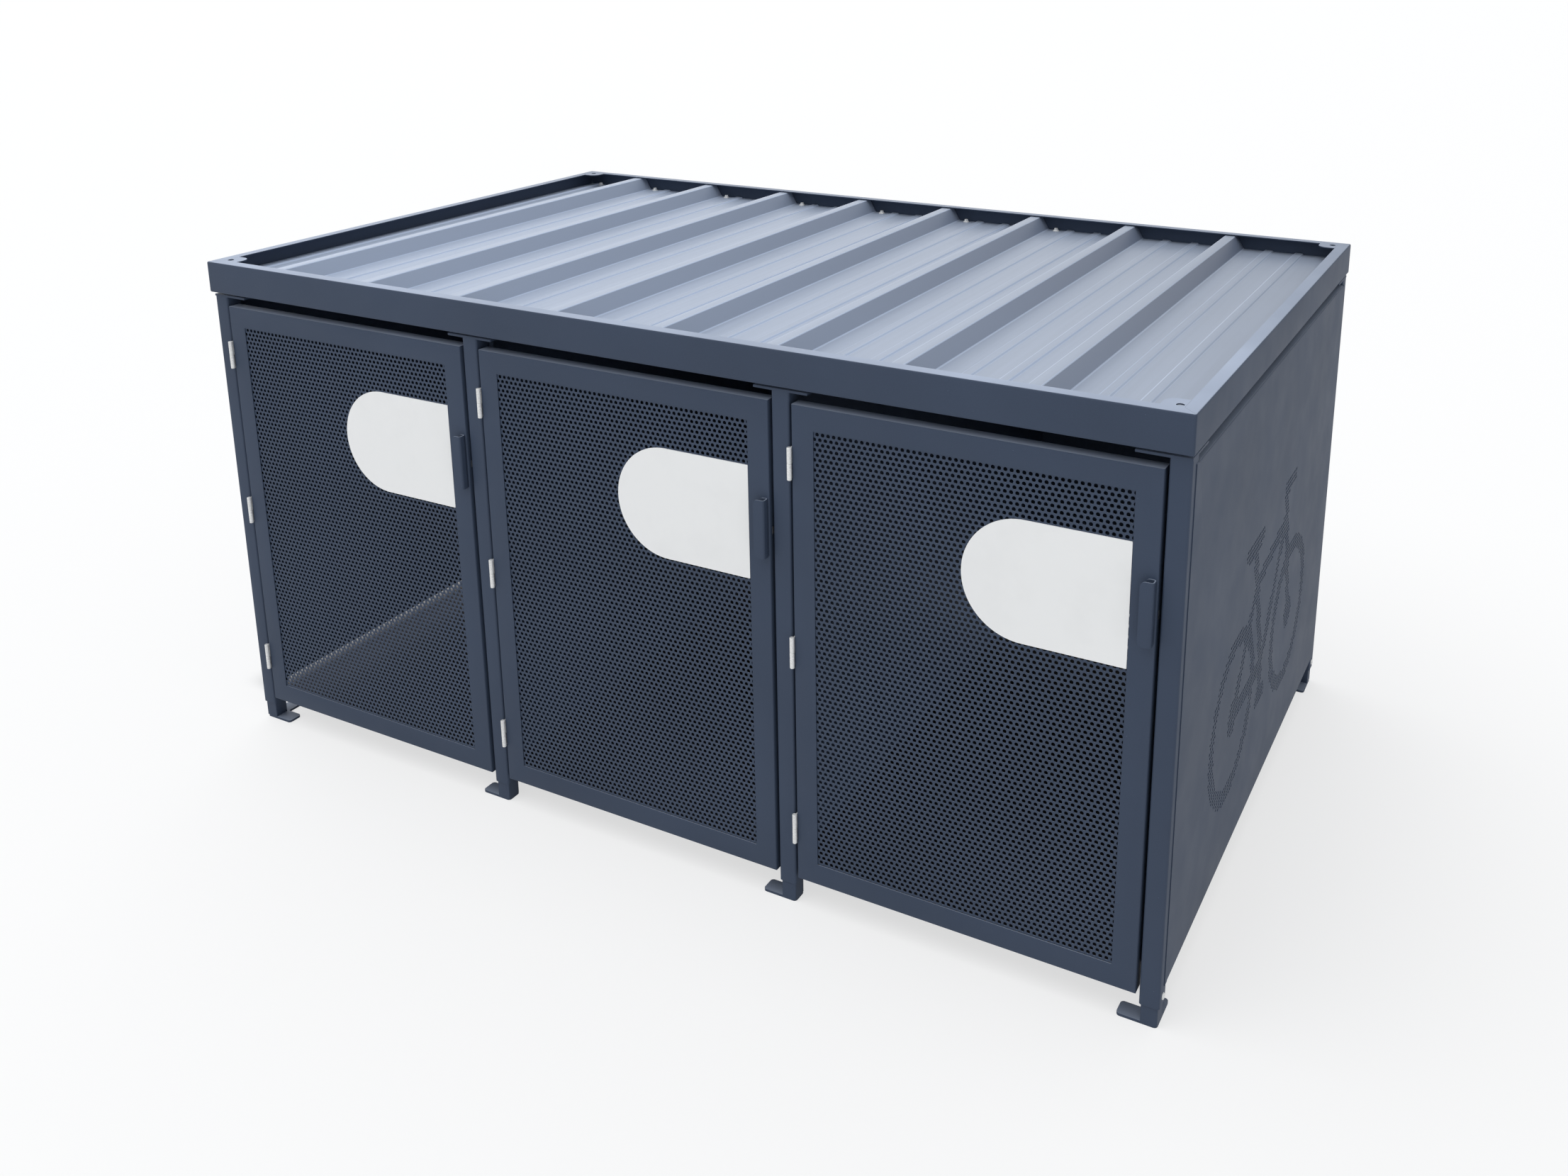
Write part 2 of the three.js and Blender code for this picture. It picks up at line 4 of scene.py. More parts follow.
import bmesh
import bpy
from bpy.props import FloatProperty, FloatVectorProperty, IntProperty, PointerProperty
from mathutils import Matrix, Vector
from mathutils.geometry import delaunay_2d_cdt


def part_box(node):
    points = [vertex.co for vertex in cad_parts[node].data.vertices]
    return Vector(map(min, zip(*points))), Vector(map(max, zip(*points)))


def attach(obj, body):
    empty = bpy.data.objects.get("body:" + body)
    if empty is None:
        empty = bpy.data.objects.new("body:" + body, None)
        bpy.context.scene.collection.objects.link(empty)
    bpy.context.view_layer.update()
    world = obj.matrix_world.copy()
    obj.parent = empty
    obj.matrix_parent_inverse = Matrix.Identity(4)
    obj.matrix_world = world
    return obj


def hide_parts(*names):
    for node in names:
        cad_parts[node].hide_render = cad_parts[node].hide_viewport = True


bl_info = {
    "name": "Bicycle locker",
    "version": (1, 0, 0),
    "blender": (4, 5, 0),
    "location": "3D View > Sidebar > Bicycle locker",
    "description": "Builds the pieces, finishes and studio of a bicycle locker with three bays",
    "category": "Object",
}

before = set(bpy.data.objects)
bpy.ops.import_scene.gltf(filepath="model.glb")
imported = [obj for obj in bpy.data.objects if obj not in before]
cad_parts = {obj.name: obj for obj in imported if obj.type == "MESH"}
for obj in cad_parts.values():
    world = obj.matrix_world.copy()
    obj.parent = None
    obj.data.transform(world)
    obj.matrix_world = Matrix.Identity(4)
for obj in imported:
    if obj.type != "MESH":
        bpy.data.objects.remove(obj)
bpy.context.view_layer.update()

BAYS = (1, 2, 3)
HINGE_ROWS = (1, 2, 3)
FRAME_BODY = "locker_frame"
RIM_SIDES = 12
BEND_STEPS = 5

# Lengths below which points count as one, in metres
FIT = 1e-6
WELD = 1e-5
TINY = 1e-9

# Angles, in degrees, beyond which edges are drawn sharp or are softened
SCREW_ANGLE = 30.0
FOLD_ANGLE = 35.0
SOFT_ANGLE = 40.0
CUT_ANGLE = 50.0

# Widths of softened edges, in metres
PURLIN_EDGE = 0.0006
POST_EDGE = 0.0014
FOOT_EDGE = 0.0010
PARTITION_EDGE = 0.0004
PLATE_EDGE = 0.0004
HANDLE_EDGE = 0.0007
CASE_EDGE = 0.0015
BOLT_EDGE = 0.0008

# Lights and camera
SENSOR = 36.0
NEAR, FAR = 0.05, 2000.0
KEY_TOWARDS = (0.30, 0.25, -0.92)
BACK_TOWARDS = (0.64, -0.64, -0.40)
LAMP_SPREAD = 60.0
LAMP_HEIGHT = 5.0
FLOOR_REACH = 400.0

# Start and full depth of the floor's painted shade, inwards from the roof frame's edges; minus is outside
SHADE_LEFT = (-0.28, -0.07)
SHADE_RIGHT = (0.035, 0.055)
SHADE_FRONT = (0.10, 0.19)
SHADE_BACK = (0.06, 0.22)


# Settings that a user may change

def length(name, description, default):
    """A size in metres."""
    return FloatProperty(name=name, description=description, default=default, min=0.0,
                         precision=4, unit="LENGTH", subtype="DISTANCE")


def colour(name, description, default):
    """A colour with three parts."""
    return FloatVectorProperty(name=name, description=description, default=default, size=3,
                               min=0.0, max=1.0, subtype="COLOR")


def share(name, description, default, high=1.0):
    """A plain number from nought to a limit."""
    return FloatProperty(name=name, description=description, default=default, min=0.0, max=high,
                         subtype="FACTOR")


class RoofSizes(bpy.types.PropertyGroup):
    """Sizes of the roof frame and the roof sheet."""
    wall: length("Frame wall", "Thickness of the folded channel", 0.003)
    bend: length("Frame bend", "Outer radius of the channel's folds", 0.0045)
    corner: length("Corner radius", "Radius of the roof frame's upright corners", 0.0055)
    top_flange: length("Top flange", "Width of the channel's upper flange", 0.035)
    bottom_flange: length("Bottom flange", "Width of the channel's lower flange", 0.060)
    plate: length("Corner plate", "Length of a corner plate along each side", 0.088)
    plate_radius: length("Corner plate radius", "Radius of a corner plate's inner corner", 0.030)
    plate_notch: length("Corner plate notch", "Radius of a corner plate beside the other side", 0.002)
    hole_radius: length("Lifting hole", "Radius of the hole in each corner plate", 0.009)
    hole_inset: length("Lifting hole inset", "Distance of the hole from both outer faces", 0.048)
    gap: length("Mitre gap", "Gap between two sides of the frame", 0.0003)
    sheet: length("Sheet thickness", "Thickness of the trapezoidal sheet", 0.001)
    ridges: IntProperty(name="Ridges", description="Number of ridges", default=8, min=1, max=20)
    pitch: length("Ridge pitch", "Distance between two ridges", 0.336)
    first_crest: length("First crest", "First crest's distance from the left of the roof frame", 0.256)
    crest: length("Crest width", "Flat width on top of a ridge", 0.032)
    base: length("Ridge base", "Width of a ridge at its foot", 0.082)
    ridge_bend: length("Ridge bend", "Radius of the bends of a ridge", 0.005)
    swage_base: length("Swage base", "Width of a swage at its foot", 0.030)
    swage_crest: length("Swage crest", "Flat width on top of a swage", 0.022)
    swage_height: length("Swage height", "Height of a swage in the valleys", 0.004)
    swage_bend: length("Swage bend", "Radius of the bends of a swage", 0.004)
    first_swage: length("First swage", "Distance from a ridge's foot to the first swage", 0.080)
    second_swage: length("Second swage", "Distance from a ridge's foot to the second swage", 0.175)


class WallSizes(bpy.types.PropertyGroup):
    """Sizes of the wall panels and their bicycle sign."""
    wall: length("Panel thickness", "Thickness of a wall panel", 0.002)
    bend: length("Panel bend", "Outer radius of a panel's folds", 0.0035)
    lip: length("Panel lip", "Depth of the folded lips", 0.020)
    overlap: length("Post overlap", "How far a panel laps over a post", 0.021)
    relief: length("Relief", "Width of the relief cut beside a lip", 0.003)
    sign_radius: length("Wheel radius", "Outer radius of the sign's wheels", 0.236)
    sign_rim: length("Rim width", "Width of the sign's wheel rims", 0.048)
    sign_hub: length("Hub radius", "Radius of the sign's hubs", 0.050)
    sign_bar: length("Bar width", "Width of the bars of the sign's frame", 0.046)


class DoorSizes(bpy.types.PropertyGroup):
    """Sizes of the doors and their furniture."""
    wall: length("Door wall", "Thickness of the folded door frame", 0.0025)
    bend: length("Door bend", "Outer radius of the door's folds", 0.0035)
    stile: length("Stile width", "Width of the door frame around its window", 0.060)
    back_lip: length("Back lip", "Width of the lip folded in at the back", 0.020)
    edge: length("Cut edge", "Rounding of cut sheet edges", 0.0006)
    mesh: length("Sheet thickness", "Thickness of the perforated sheets", 0.0015)
    lap: length("Sheet lap", "How far a perforated sheet laps behind the frame", 0.015)
    hole: length("Hole radius", "Radius of the perforation's holes", 0.005)
    pitch: length("Hole pitch", "Distance between neighbouring holes", 0.015)
    first_hole: length("First hole", "First hole's distance from the window's left edge", 0.0095)
    hole_margin: length("Hole margin", "Least plain rim between a hole and a cut edge", 0.0012)
    first_row: length("First row", "First row's distance from the window's top edge", 0.006)
    plate_corner: length("Plate corner", "Radius of a pale plate's right corners", 0.002)
    slot_depth: length("Slot depth", "Reach of the bolt's slot into the closing stile", 0.006)
    slot_gap: length("Slot gap", "Gap between a lock bolt and its slot", 0.0004)
    handle_wall: length("Handle wall", "Thickness of the handle's bar", 0.003)
    handle_bend: length("Handle bend", "Outer radius of the handle's folds", 0.006)
    handle_radius: length("Handle corner", "Radius of the handle's rounded corners", 0.013)
    handle_foot: length("Handle foot", "Width of the handle's foot on the stile", 0.026)
    hinge_radius: length("Hinge radius", "Radius of a hinge's barrel", 0.006)
    hinge_chamfer: length("Hinge chamfer", "Chamfer at both ends of a barrel", 0.0008)
    hinge_leaf: length("Hinge leaf", "Thickness of a hinge's leaf", 0.0025)
    leaf_side: length("Leaf side", "Distance of a leaf's outer face from the barrel's axis", 0.00375)
    hinge_gap: length("Hinge gap", "Gap between the two halves of a hinge", 0.0006)
    pin_radius: length("Pin radius", "Radius of a hinge's pin", 0.003)
    pin_tip: length("Pin tip", "Chamfer at the pin's upper end", 0.0005)


class FastenerSizes(bpy.types.PropertyGroup):
    """Sizes and places of the screws and bolts."""
    screws: IntProperty(name="Roof screws", description="Number of screws at the back", default=7,
                        min=1, max=20)
    beside_crest: length("Beside crest", "Distance of a screw from the crest to its left", 0.074)
    first_shift: length("First shift", "How much farther right the first screw stands", 0.070)
    washer: length("Washer radius", "Radius of a roof screw's washer", 0.011)
    screw_head: length("Screw head", "Radius of a roof screw's head", 0.0065)
    screw_height: length("Screw height", "Height of a roof screw with its washer", 0.010)
    bolt_head: length("Bolt head", "Radius of a bolt's rounded head", 0.0085)
    bolt_height: length("Bolt height", "Height of a bolt's rounded head", 0.0045)
    bolt_rim: length("Bolt rim", "Height of the rim under a bolt's rounding", 0.0008)
    bolt_inset: length("Bolt inset", "Distance of a clamp bolt from its post's outer face", 0.025)
    bolt_rise: length("Bolt rise", "Height of a clamp bolt above its post's lower end", 0.022)


class Finishes(bpy.types.PropertyGroup):
    """Colours and finishes."""
    coat: colour("Powder coat", "Colour of the posts, walls, doors and roof frame", (0.040, 0.057, 0.094))
    coat_roughness: share("Coat roughness", "Roughness of the powder coat", 0.60)
    coat_gloss: share("Coat gloss", "Specular level of the powder coat", 0.25)
    # Lightens faces that look up, as dust and as painted sky sheen
    dust: colour("Dust", "Colour of the thin dust on faces that look up", (0.30, 0.345, 0.435))
    roof: colour("Roof coat", "Colour of the trapezoidal sheet", (0.330, 0.385, 0.490))
    roof_roughness: share("Roof roughness", "Roughness of the roof coat", 0.45)
    roof_gloss: share("Roof gloss", "Specular level of the roof coat", 0.3)
    # Painted shade on the ridges' right slopes
    painted_shade: colour("Grime", "Colour of the grime on the slopes of the ridges", (0.030, 0.042, 0.085))
    plate: colour("Pale plate", "Colour of the blank plates", (0.88, 0.88, 0.875))
    zinc: colour("Zinc", "Colour of hinges, screws and bolts", (0.82, 0.82, 0.81))
    lock: colour("Lock steel", "Colour of the lock cases", (0.32, 0.33, 0.35))


class StudioSettings(bpy.types.PropertyGroup):
    """Camera, light and floor."""
    lens: FloatProperty(name="Lens", description="Focal length in millimetres", default=32.7918)
    azimuth: FloatProperty(name="Azimuth", description="Direction of view, round from +Y",
                           default=math.radians(27.5041), subtype="ANGLE")
    tilt: FloatProperty(name="Tilt", description="How far the camera looks down",
                        default=math.radians(14.8986), subtype="ANGLE")
    place: FloatVectorProperty(name="Camera place", description="Place of the camera", size=3,
                               default=(2.17198, -3.66672, 2.48897), subtype="TRANSLATION")
    shift: FloatVectorProperty(name="Camera shift", description="Shift of the picture", size=2,
                               default=(-0.05445, -0.18083))
    sky_tone: colour("Sky colour", "Colour of the even light", (0.94, 0.97, 1.0))
    sky: share("Sky light", "Strength of the even light from all sides", 0.60, 5.0)
    key: share("Key light", "Strength of the soft light from above", 1.35, 20.0)
    rim: share("Back light", "Strength of the soft light from behind", 0.6, 20.0)
    floor: colour("Floor", "Colour of the floor", (0.93, 0.93, 0.93))
    white: share("White floor", "Share of plain white in the floor as the camera sees it", 0.65)
    # Painted shade on the floor under the locker
    inside: colour("Shaded floor", "Colour of the floor under the locker", (0.022, 0.022, 0.026))


# Procedural finishes

# Places of the colours among the Mix node's sockets
MIX_COLOUR_A, MIX_COLOUR_B, MIX_COLOUR_RESULT = 6, 7, 2


def add_node(tree, kind, inputs=None, **values):
    """A new node, with its inputs linked or set by name or number."""
    node = tree.nodes.new(kind)
    for key, value in values.items():
        setattr(node, key, value)
    for key, value in (inputs or {}).items():
        if isinstance(value, bpy.types.NodeSocket):
            tree.links.new(value, node.inputs[key])
        else:
            node.inputs[key].default_value = value
    return node


def seen_rays(tree):
    """One for rays that show a thing itself, straight, mirrored or let through, and else nought."""
    rays = add_node(tree, "ShaderNodeLightPath").outputs
    seen = rays["Is Camera Ray"]
    for name in ("Is Glossy Ray", "Is Transmission Ray"):
        seen = add_node(tree, "ShaderNodeMath", {0: seen, 1: rays[name]}, operation="ADD",
                        use_clamp=True).outputs[0]
    return seen


class Nodes:
    """Short ways to add and link the nodes of one material."""

    def __init__(self, name):
        self.material = bpy.data.materials.new(name)
        self.material.use_nodes = True
        self.tree = self.material.node_tree
        self.shader = self.tree.nodes["Principled BSDF"]
        coordinates = self.tree.nodes.new("ShaderNodeTexCoord").outputs
        self.place, self.normal = coordinates["Object"], coordinates["Normal"]

    def add(self, kind, inputs=None, **values):
        """A new node in this material."""
        return add_node(self.tree, kind, inputs, **values)

    def stretched(self, scale):
        """Places on the piece, scaled apart in X, Y and Z."""
        node = self.add("ShaderNodeMapping", {"Vector": self.place, "Scale": scale})
        return node.outputs["Vector"]

    def noise(self, scale, detail=2.0, roughness=0.5, where=None):
        """Soft noise; the scale counts its lumps in a metre."""
        node = self.add("ShaderNodeTexNoise", {"Vector": where or self.place, "Scale": scale,
                                               "Detail": detail, "Roughness": roughness})
        return node.outputs["Fac"]

    def ranged(self, value, low, high, to_low, to_high):
        """A value brought from one range to another, and held within it."""
        node = self.add("ShaderNodeMapRange", {"Value": value, "From Min": low, "From Max": high,
                                               "To Min": to_low, "To Max": to_high})
        return node.outputs["Result"]

    def worked(self, operation, first, second=0.0):
        """The result of one Math node."""
        return self.add("ShaderNodeMath", {0: first, 1: second}, operation=operation).outputs[0]

    def product(self, first, second):
        """Two values multiplied."""
        return self.worked("MULTIPLY", first, second)

    def split(self, vector):
        """The X, Y and Z of a vector."""
        return self.add("ShaderNodeSeparateXYZ", {"Vector": vector}).outputs

    def mixed(self, factor, first, second):
        """A colour between two colours or sockets."""
        node = self.add("ShaderNodeMix", {0: factor}, data_type="RGBA")
        for number, value in ((MIX_COLOUR_A, first), (MIX_COLOUR_B, second)):
            socket = node.inputs[number]
            if isinstance(value, bpy.types.NodeSocket):
                self.tree.links.new(value, socket)
            else:
                socket.default_value = (*value, 1.0)
        return node.outputs[MIX_COLOUR_RESULT]

    def bumped(self, height, strength, distance):
        """Small bumps on the surface, from a height."""
        node = self.add("ShaderNodeBump", {"Height": height, "Strength": strength,
                                           "Distance": distance})
        self.link(node.outputs["Normal"], "Normal")

    def link(self, value, name):
        """Leads a value into an input of the shader."""
        self.tree.links.new(value, self.shader.inputs[name])

    def set(self, **values):
        """Gives inputs of the shader fixed values; their names have _ for a space."""
        for name, value in values.items():
            self.shader.inputs[name.replace("_", " ")].default_value = value


def shaded(tone, factor):
    """A lighter or darker shade of a colour."""
    return tuple(min(1.0, part * factor) for part in tone)


def specks(nodes, scale, size, amount):
    """Mask of small scattered dots."""
    cells = nodes.add("ShaderNodeTexVoronoi", {"Vector": nodes.place, "Scale": scale})
    dot = nodes.ranged(cells.outputs["Distance"], size, size * 0.5, 0.0, 1.0)
    pick = nodes.add("ShaderNodeSeparateColor", {"Color": cells.outputs["Color"]}).outputs["Red"]
    chosen, softness = 1.0 - amount, 0.02
    return nodes.product(dot, nodes.ranged(pick, chosen, chosen + softness, 0.0, 1.0))


def dust_and_sheen(nodes, base, drift, dust_and_sheen_tone):
    """Dust and painted sky sheen on faces that look up, painted lightest on top of the roof frame's front.
    """
    under_top, top = 1.50, 1.515
    front, back = -0.7, 0.9
    # Faces that look up are lightened, partly as dust and partly as painted sky sheen
    level = nodes.ranged(nodes.split(nodes.normal)["Z"], 0.80, 0.97, 0.0, 0.8)
    dust_and_sheen_share = nodes.product(level, nodes.ranged(drift, 0.0, 1.0, 0.75, 1.0))
    place = nodes.split(nodes.place)
    on_top = nodes.ranged(place["Z"], under_top, top, 0.0, 1.0)
    at_front = nodes.ranged(place["Y"], front, back, 1.0, 0.0)
    # Painted sheen: the roof frame's top is lighter at the front than at the back
    painted_front_sheen = nodes.mixed(nodes.product(on_top, at_front), dust_and_sheen_tone, shaded(dust_and_sheen_tone, 1.6))
    return nodes.mixed(dust_and_sheen_share, base, painted_front_sheen)


def powder_coat(name, tone, roughness, gloss, dust_and_sheen_tone):
    """Satin powder coat: fine orange peel, slow drift in tone, a few pale dust specks."""
    nodes = Nodes(name)
    drift = nodes.ranged(nodes.noise(2.2, detail=3.0), 0.3, 0.7, 0.0, 1.0)
    base = nodes.mixed(drift, shaded(tone, 0.93), shaded(tone, 1.08))
    grain = nodes.ranged(nodes.noise(420.0, detail=1.0), 0.35, 0.65, 0.0, 1.0)
    base = nodes.mixed(nodes.product(grain, 0.10), base, shaded(tone, 1.6))
    dust = nodes.product(specks(nodes, scale=34.0, size=0.032, amount=0.35), 0.35)
    base = nodes.mixed(dust, base, shaded(tone, 5.0))
    # Faces that look up get dust and painted sky sheen
    nodes.link(dust_and_sheen(nodes, base, drift, dust_and_sheen_tone), "Base Color")
    patches = nodes.noise(9.0, detail=2.0)
    nodes.link(nodes.ranged(patches, 0.3, 0.7, roughness - 0.03, roughness + 0.04), "Roughness")
    nodes.bumped(nodes.noise(650.0, detail=2.0), strength=0.10, distance=0.0004)
    nodes.set(Specular_IOR_Level=gloss)
    return nodes.material


def roof_coat(name, tone, roughness, gloss, painted_shade):
    """Coil coat on rolled sheet, with faint streaks along the ridges and bends painted pale as highlights.

    It is painted lighter at the left front and darker at the right back as sky reflection, and the
    ridges' right slopes are painted darker as shade."""
    left, right, front, back = -1.3, 1.3, -0.8, 0.8
    nodes = Nodes(name)
    streaks = nodes.noise(1.0, detail=3.0, roughness=0.6, where=nodes.stretched((60.0, 1.4, 8.0)))
    mottle = nodes.noise(3.0, detail=4.0, roughness=0.55)
    place = nodes.split(nodes.place)
    # Painted sky reflection: lighter at the left front, darker at the right back
    across = nodes.ranged(place["X"], left, right, 0.0, 0.65)
    along = nodes.ranged(place["Y"], front, back, 0.0, 0.35)
    painted_light_fade = nodes.worked("ADD", across, along)
    base = nodes.mixed(painted_light_fade, shaded(tone, 1.28), shaded(tone, 0.72))
    base = nodes.mixed(nodes.ranged(streaks, 0.35, 0.65, 0.0, 0.12), base, shaded(tone, 0.5))
    base = nodes.mixed(nodes.ranged(mottle, 0.4, 0.7, 0.0, 0.10), base, shaded(tone, 1.15))
    lean = nodes.split(nodes.normal)["X"]
    # Bends painted pale as highlights, fainter towards the right back
    bends = nodes.ranged(nodes.worked("ABSOLUTE", lean), 0.08, 0.25, 0.0, 0.7)
    bend_highlight = nodes.product(bends, nodes.ranged(painted_light_fade, 0.4, 0.9, 1.0, 0.4))
    base = nodes.mixed(bend_highlight, base, shaded(tone, 1.6))
    # The ridges' right slopes get painted shade, near the coat's tone at the left front and darkest at the
    # right back
    slopes = nodes.mixed(painted_light_fade, shaded(tone, 0.95), painted_shade)
    base = nodes.mixed(nodes.ranged(lean, 0.78, 0.85, 0.0, 0.75), base, slopes)
    nodes.link(base, "Base Color")
    nodes.link(nodes.ranged(mottle, 0.3, 0.7, roughness - 0.01, roughness + 0.01), "Roughness")
    nodes.bumped(nodes.noise(240.0, detail=2.0), strength=0.05, distance=0.0003)
    nodes.set(Specular_IOR_Level=gloss)
    return nodes.material


def plate_coat(name, tone):
    """Matt pale plate with faint smudges."""
    nodes = Nodes(name)
    smudge = nodes.ranged(nodes.noise(7.0, detail=4.0, roughness=0.6), 0.45, 0.75, 0.0, 1.0)
    nodes.link(nodes.mixed(nodes.product(smudge, 0.5), tone, shaded(tone, 0.93)), "Base Color")
    nodes.link(nodes.ranged(nodes.noise(30.0, detail=2.0), 0.3, 0.7, 0.42, 0.52), "Roughness")
    nodes.bumped(nodes.noise(500.0, detail=1.0), strength=0.04, distance=0.0002)
    nodes.set(Specular_IOR_Level=0.35)
    return nodes.material


def plated_steel(name, tone, roughness, scale, metallic):
    """Zinc-plated or plain steel: fine spangle and a brushed grain."""
    nodes = Nodes(name)
    cells = nodes.add("ShaderNodeTexVoronoi", {"Vector": nodes.place, "Scale": scale})
    spangle = nodes.add("ShaderNodeSeparateColor", {"Color": cells.outputs["Color"]}).outputs["Red"]
    nodes.link(nodes.mixed(spangle, shaded(tone, 0.86), shaded(tone, 1.10)), "Base Color")
    grain = nodes.noise(1.0, detail=3.0, roughness=0.6, where=nodes.stretched((900.0, 900.0, 40.0)))
    nodes.link(nodes.ranged(grain, 0.3, 0.7, roughness - 0.06, roughness + 0.08), "Roughness")
    nodes.bumped(grain, strength=0.06, distance=0.0002)
    nodes.set(Metallic=metallic)
    return nodes.material


def finish(context, slot):
    """The material of one slot, which is made when it is first asked for."""
    name = f"locker {slot.replace('_', ' ')}"
    made = bpy.data.materials.get(name)
    if made:
        return made
    tones = context.scene.locker_finishes
    if slot == "powder_coat":
        return powder_coat(name, tones.coat, tones.coat_roughness, tones.coat_gloss, tones.dust)
    if slot == "roof_coat":
        return roof_coat(name, tones.roof, tones.roof_roughness, tones.roof_gloss, tones.painted_shade)
    if slot == "pale_plate":
        return plate_coat(name, tones.plate)
    if slot == "zinc_steel":
        return plated_steel(name, tones.zinc, roughness=0.36, scale=320.0, metallic=0.2)
    return plated_steel(name, tones.lock, roughness=0.4, scale=180.0, metallic=0.7)


# Shapes

def rounded(corners, steps=6):
    """Outline whose corners (u, v, radius) are turned into short arcs."""
    points = []
    for k, (u, v, *radius) in enumerate(corners):
        here = Vector((u, v))
        if not radius or radius[0] <= 0.0:
            points.append(here)
            continue
        back = (Vector(corners[k - 1][:2]) - here).normalized()
        ahead = (Vector(corners[(k + 1) % len(corners)][:2]) - here).normalized()
        half = math.acos(max(-1.0, min(1.0, back.dot(ahead)))) / 2
        centre = here + (back + ahead).normalized() * radius[0] / math.sin(half)
        start = here + back * radius[0] / math.tan(half) - centre
        end = here + ahead * radius[0] / math.tan(half) - centre
        sweep = math.atan2(start.x * end.y - start.y * end.x, start.dot(end))
        for step in range(steps + 1):
            points.append(centre + Matrix.Rotation(sweep * step / steps, 2) @ start)
    return points


def rectangle(u0, v0, u1, v1, radius=0.0):
    """Corners of a rectangle, all with one radius."""
    return [(u0, v0, radius), (u1, v0, radius), (u1, v1, radius), (u0, v1, radius)]


def circle(u, v, radius, sides):
    """Points round a circle, anticlockwise."""
    turns = [math.tau * k / sides for k in range(sides)]
    return [Vector((u + radius * math.cos(turn), v + radius * math.sin(turn))) for turn in turns]


def add_prism(bm, outline, place, low, high):
    """Closed solid between two copies of an outline; place(u, v, w) gives each point."""
    rings = [[bm.verts.new(place(u, v, w)) for u, v in outline] for w in (low, high)]
    count = len(outline)
    for a in range(count):
        b = (a + 1) % count
        bm.faces.new((rings[0][a], rings[0][b], rings[1][b], rings[1][a]))
    bm.faces.new(rings[0][::-1])
    bm.faces.new(rings[1])


def add_box(bm, low, high):
    """Closed box between two corners."""
    outline = rounded(rectangle(low[0], low[1], high[0], high[1]))
    add_prism(bm, outline, lambda u, v, w: (u, v, w), low[2], high[2])


def add_turned(bm, profile, centre, sides=24):
    """Solid of revolution about an upright axis. The profile runs (radius, height) from axis to axis."""
    rings = []
    for radius, height in profile:
        if radius < FIT:
            rings.append([bm.verts.new((centre[0], centre[1], centre[2] + height))])
        else:
            rings.append([bm.verts.new((centre[0] + p.x, centre[1] + p.y, centre[2] + height))
                          for p in circle(0.0, 0.0, radius, sides)])
    for lower, upper in zip(rings, rings[1:]):
        for a in range(sides):
            b = (a + 1) % sides
            corners = [lower[a % len(lower)], lower[b % len(lower)],
                       upper[b % len(upper)], upper[a % len(upper)]]
            unique = [v for k, v in enumerate(corners) if v not in corners[:k]]
            if len(unique) > 2:
                bm.faces.new(unique)


def finished_mesh(name, bm, angle=FOLD_ANGLE):
    """A shaded mesh from a bmesh, sharp where its faces meet at more than the angle."""
    bmesh.ops.remove_doubles(bm, verts=bm.verts, dist=FIT)
    bmesh.ops.dissolve_degenerate(bm, edges=bm.edges, dist=FIT)
    bmesh.ops.recalc_face_normals(bm, faces=bm.faces)
    mesh = bpy.data.meshes.new(name)
    bm.to_mesh(mesh)
    bm.free()
    shade(mesh, angle)
    return mesh


def shade(mesh, angle=FOLD_ANGLE):
    """Smooth shading, apart from edges where faces meet at more than the angle."""
    mesh.shade_smooth()
    mesh.set_sharp_from_angle(angle=math.radians(angle))


def piece(context, name, mesh, slot, body, replaced=(), offset=None):
    """Links a piece, gives it its finish and lets it ride on its body."""
    made = bpy.data.objects.new(name, mesh)
    context.scene.collection.objects.link(made)
    if offset is not None:
        made.location = offset
    if not mesh.materials:
        mesh.materials.append(finish(context, slot))
    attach(made, body)
    if replaced:
        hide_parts(*replaced)
    return made


def soften(made, width, segments=2):
    """Small rounding of the sharp edges."""
    bevel = made.modifiers.new("Softened edges", "BEVEL")
    bevel.width = width
    bevel.segments = segments
    bevel.limit_method = "ANGLE"
    bevel.angle_limit = math.radians(SOFT_ANGLE)
    bevel.harden_normals = True


def keep_result(made, angle=FOLD_ANGLE):
    """Turns a piece with its modifiers into a plain mesh, and shades it anew."""
    bpy.context.view_layer.update()
    graph = bpy.context.evaluated_depsgraph_get()
    result = bpy.data.meshes.new_from_object(made.evaluated_get(graph))
    made.modifiers.clear()
    result.name = made.data.name
    made.data = result
    shade(result, angle)
    if not result.polygons:
        raise RuntimeError(f"{made.name} came out empty")


def thicken(made, thickness):
    """Gives an open sheet its thickness behind its face, with sharp cut edges."""
    solid = made.modifiers.new("Thickness", "SOLIDIFY")
    solid.thickness = thickness
    solid.offset = -1.0
    solid.use_even_offset = True
    keep_result(made, CUT_ANGLE)


def combine(made, meshes, operation):
    """Joins meshes to a piece or cuts them out of it, and keeps the result as its mesh."""
    tools = []
    for mesh in meshes:
        tool = bpy.data.objects.new("tool", mesh)
        bpy.context.scene.collection.objects.link(tool)
        tools.append(tool)
        step = made.modifiers.new("Combine", "BOOLEAN")
        step.operation = operation
        step.solver = "EXACT"
        step.object = tool
    keep_result(made)
    for tool in tools:
        bpy.data.objects.remove(tool)


def dress(context, node, slot, edge):
    """Finish and softened edges for a packed node that stays as it is."""
    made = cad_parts[node]
    mesh = made.data
    if "custom_normal" in mesh.attributes:
        mesh.attributes.remove(mesh.attributes["custom_normal"])
    mesh.shade_smooth()
    weld = made.modifiers.new("Weld", "WELD")
    weld.merge_threshold = WELD
    soften(made, edge)
    for held in made.material_slots:
        held.material = finish(context, slot)


# Flat sheets with holes

def loops_of(edges):
    """Closed loops of vertex numbers from directed edges."""
    following = dict(edges)
    loops = []
    while following:
        start = next(iter(following))
        loop = [start]
        here = following.pop(start)
        while here != start:
            loop.append(here)
            here = following.pop(here)
        loops.append(loop)
    return loops


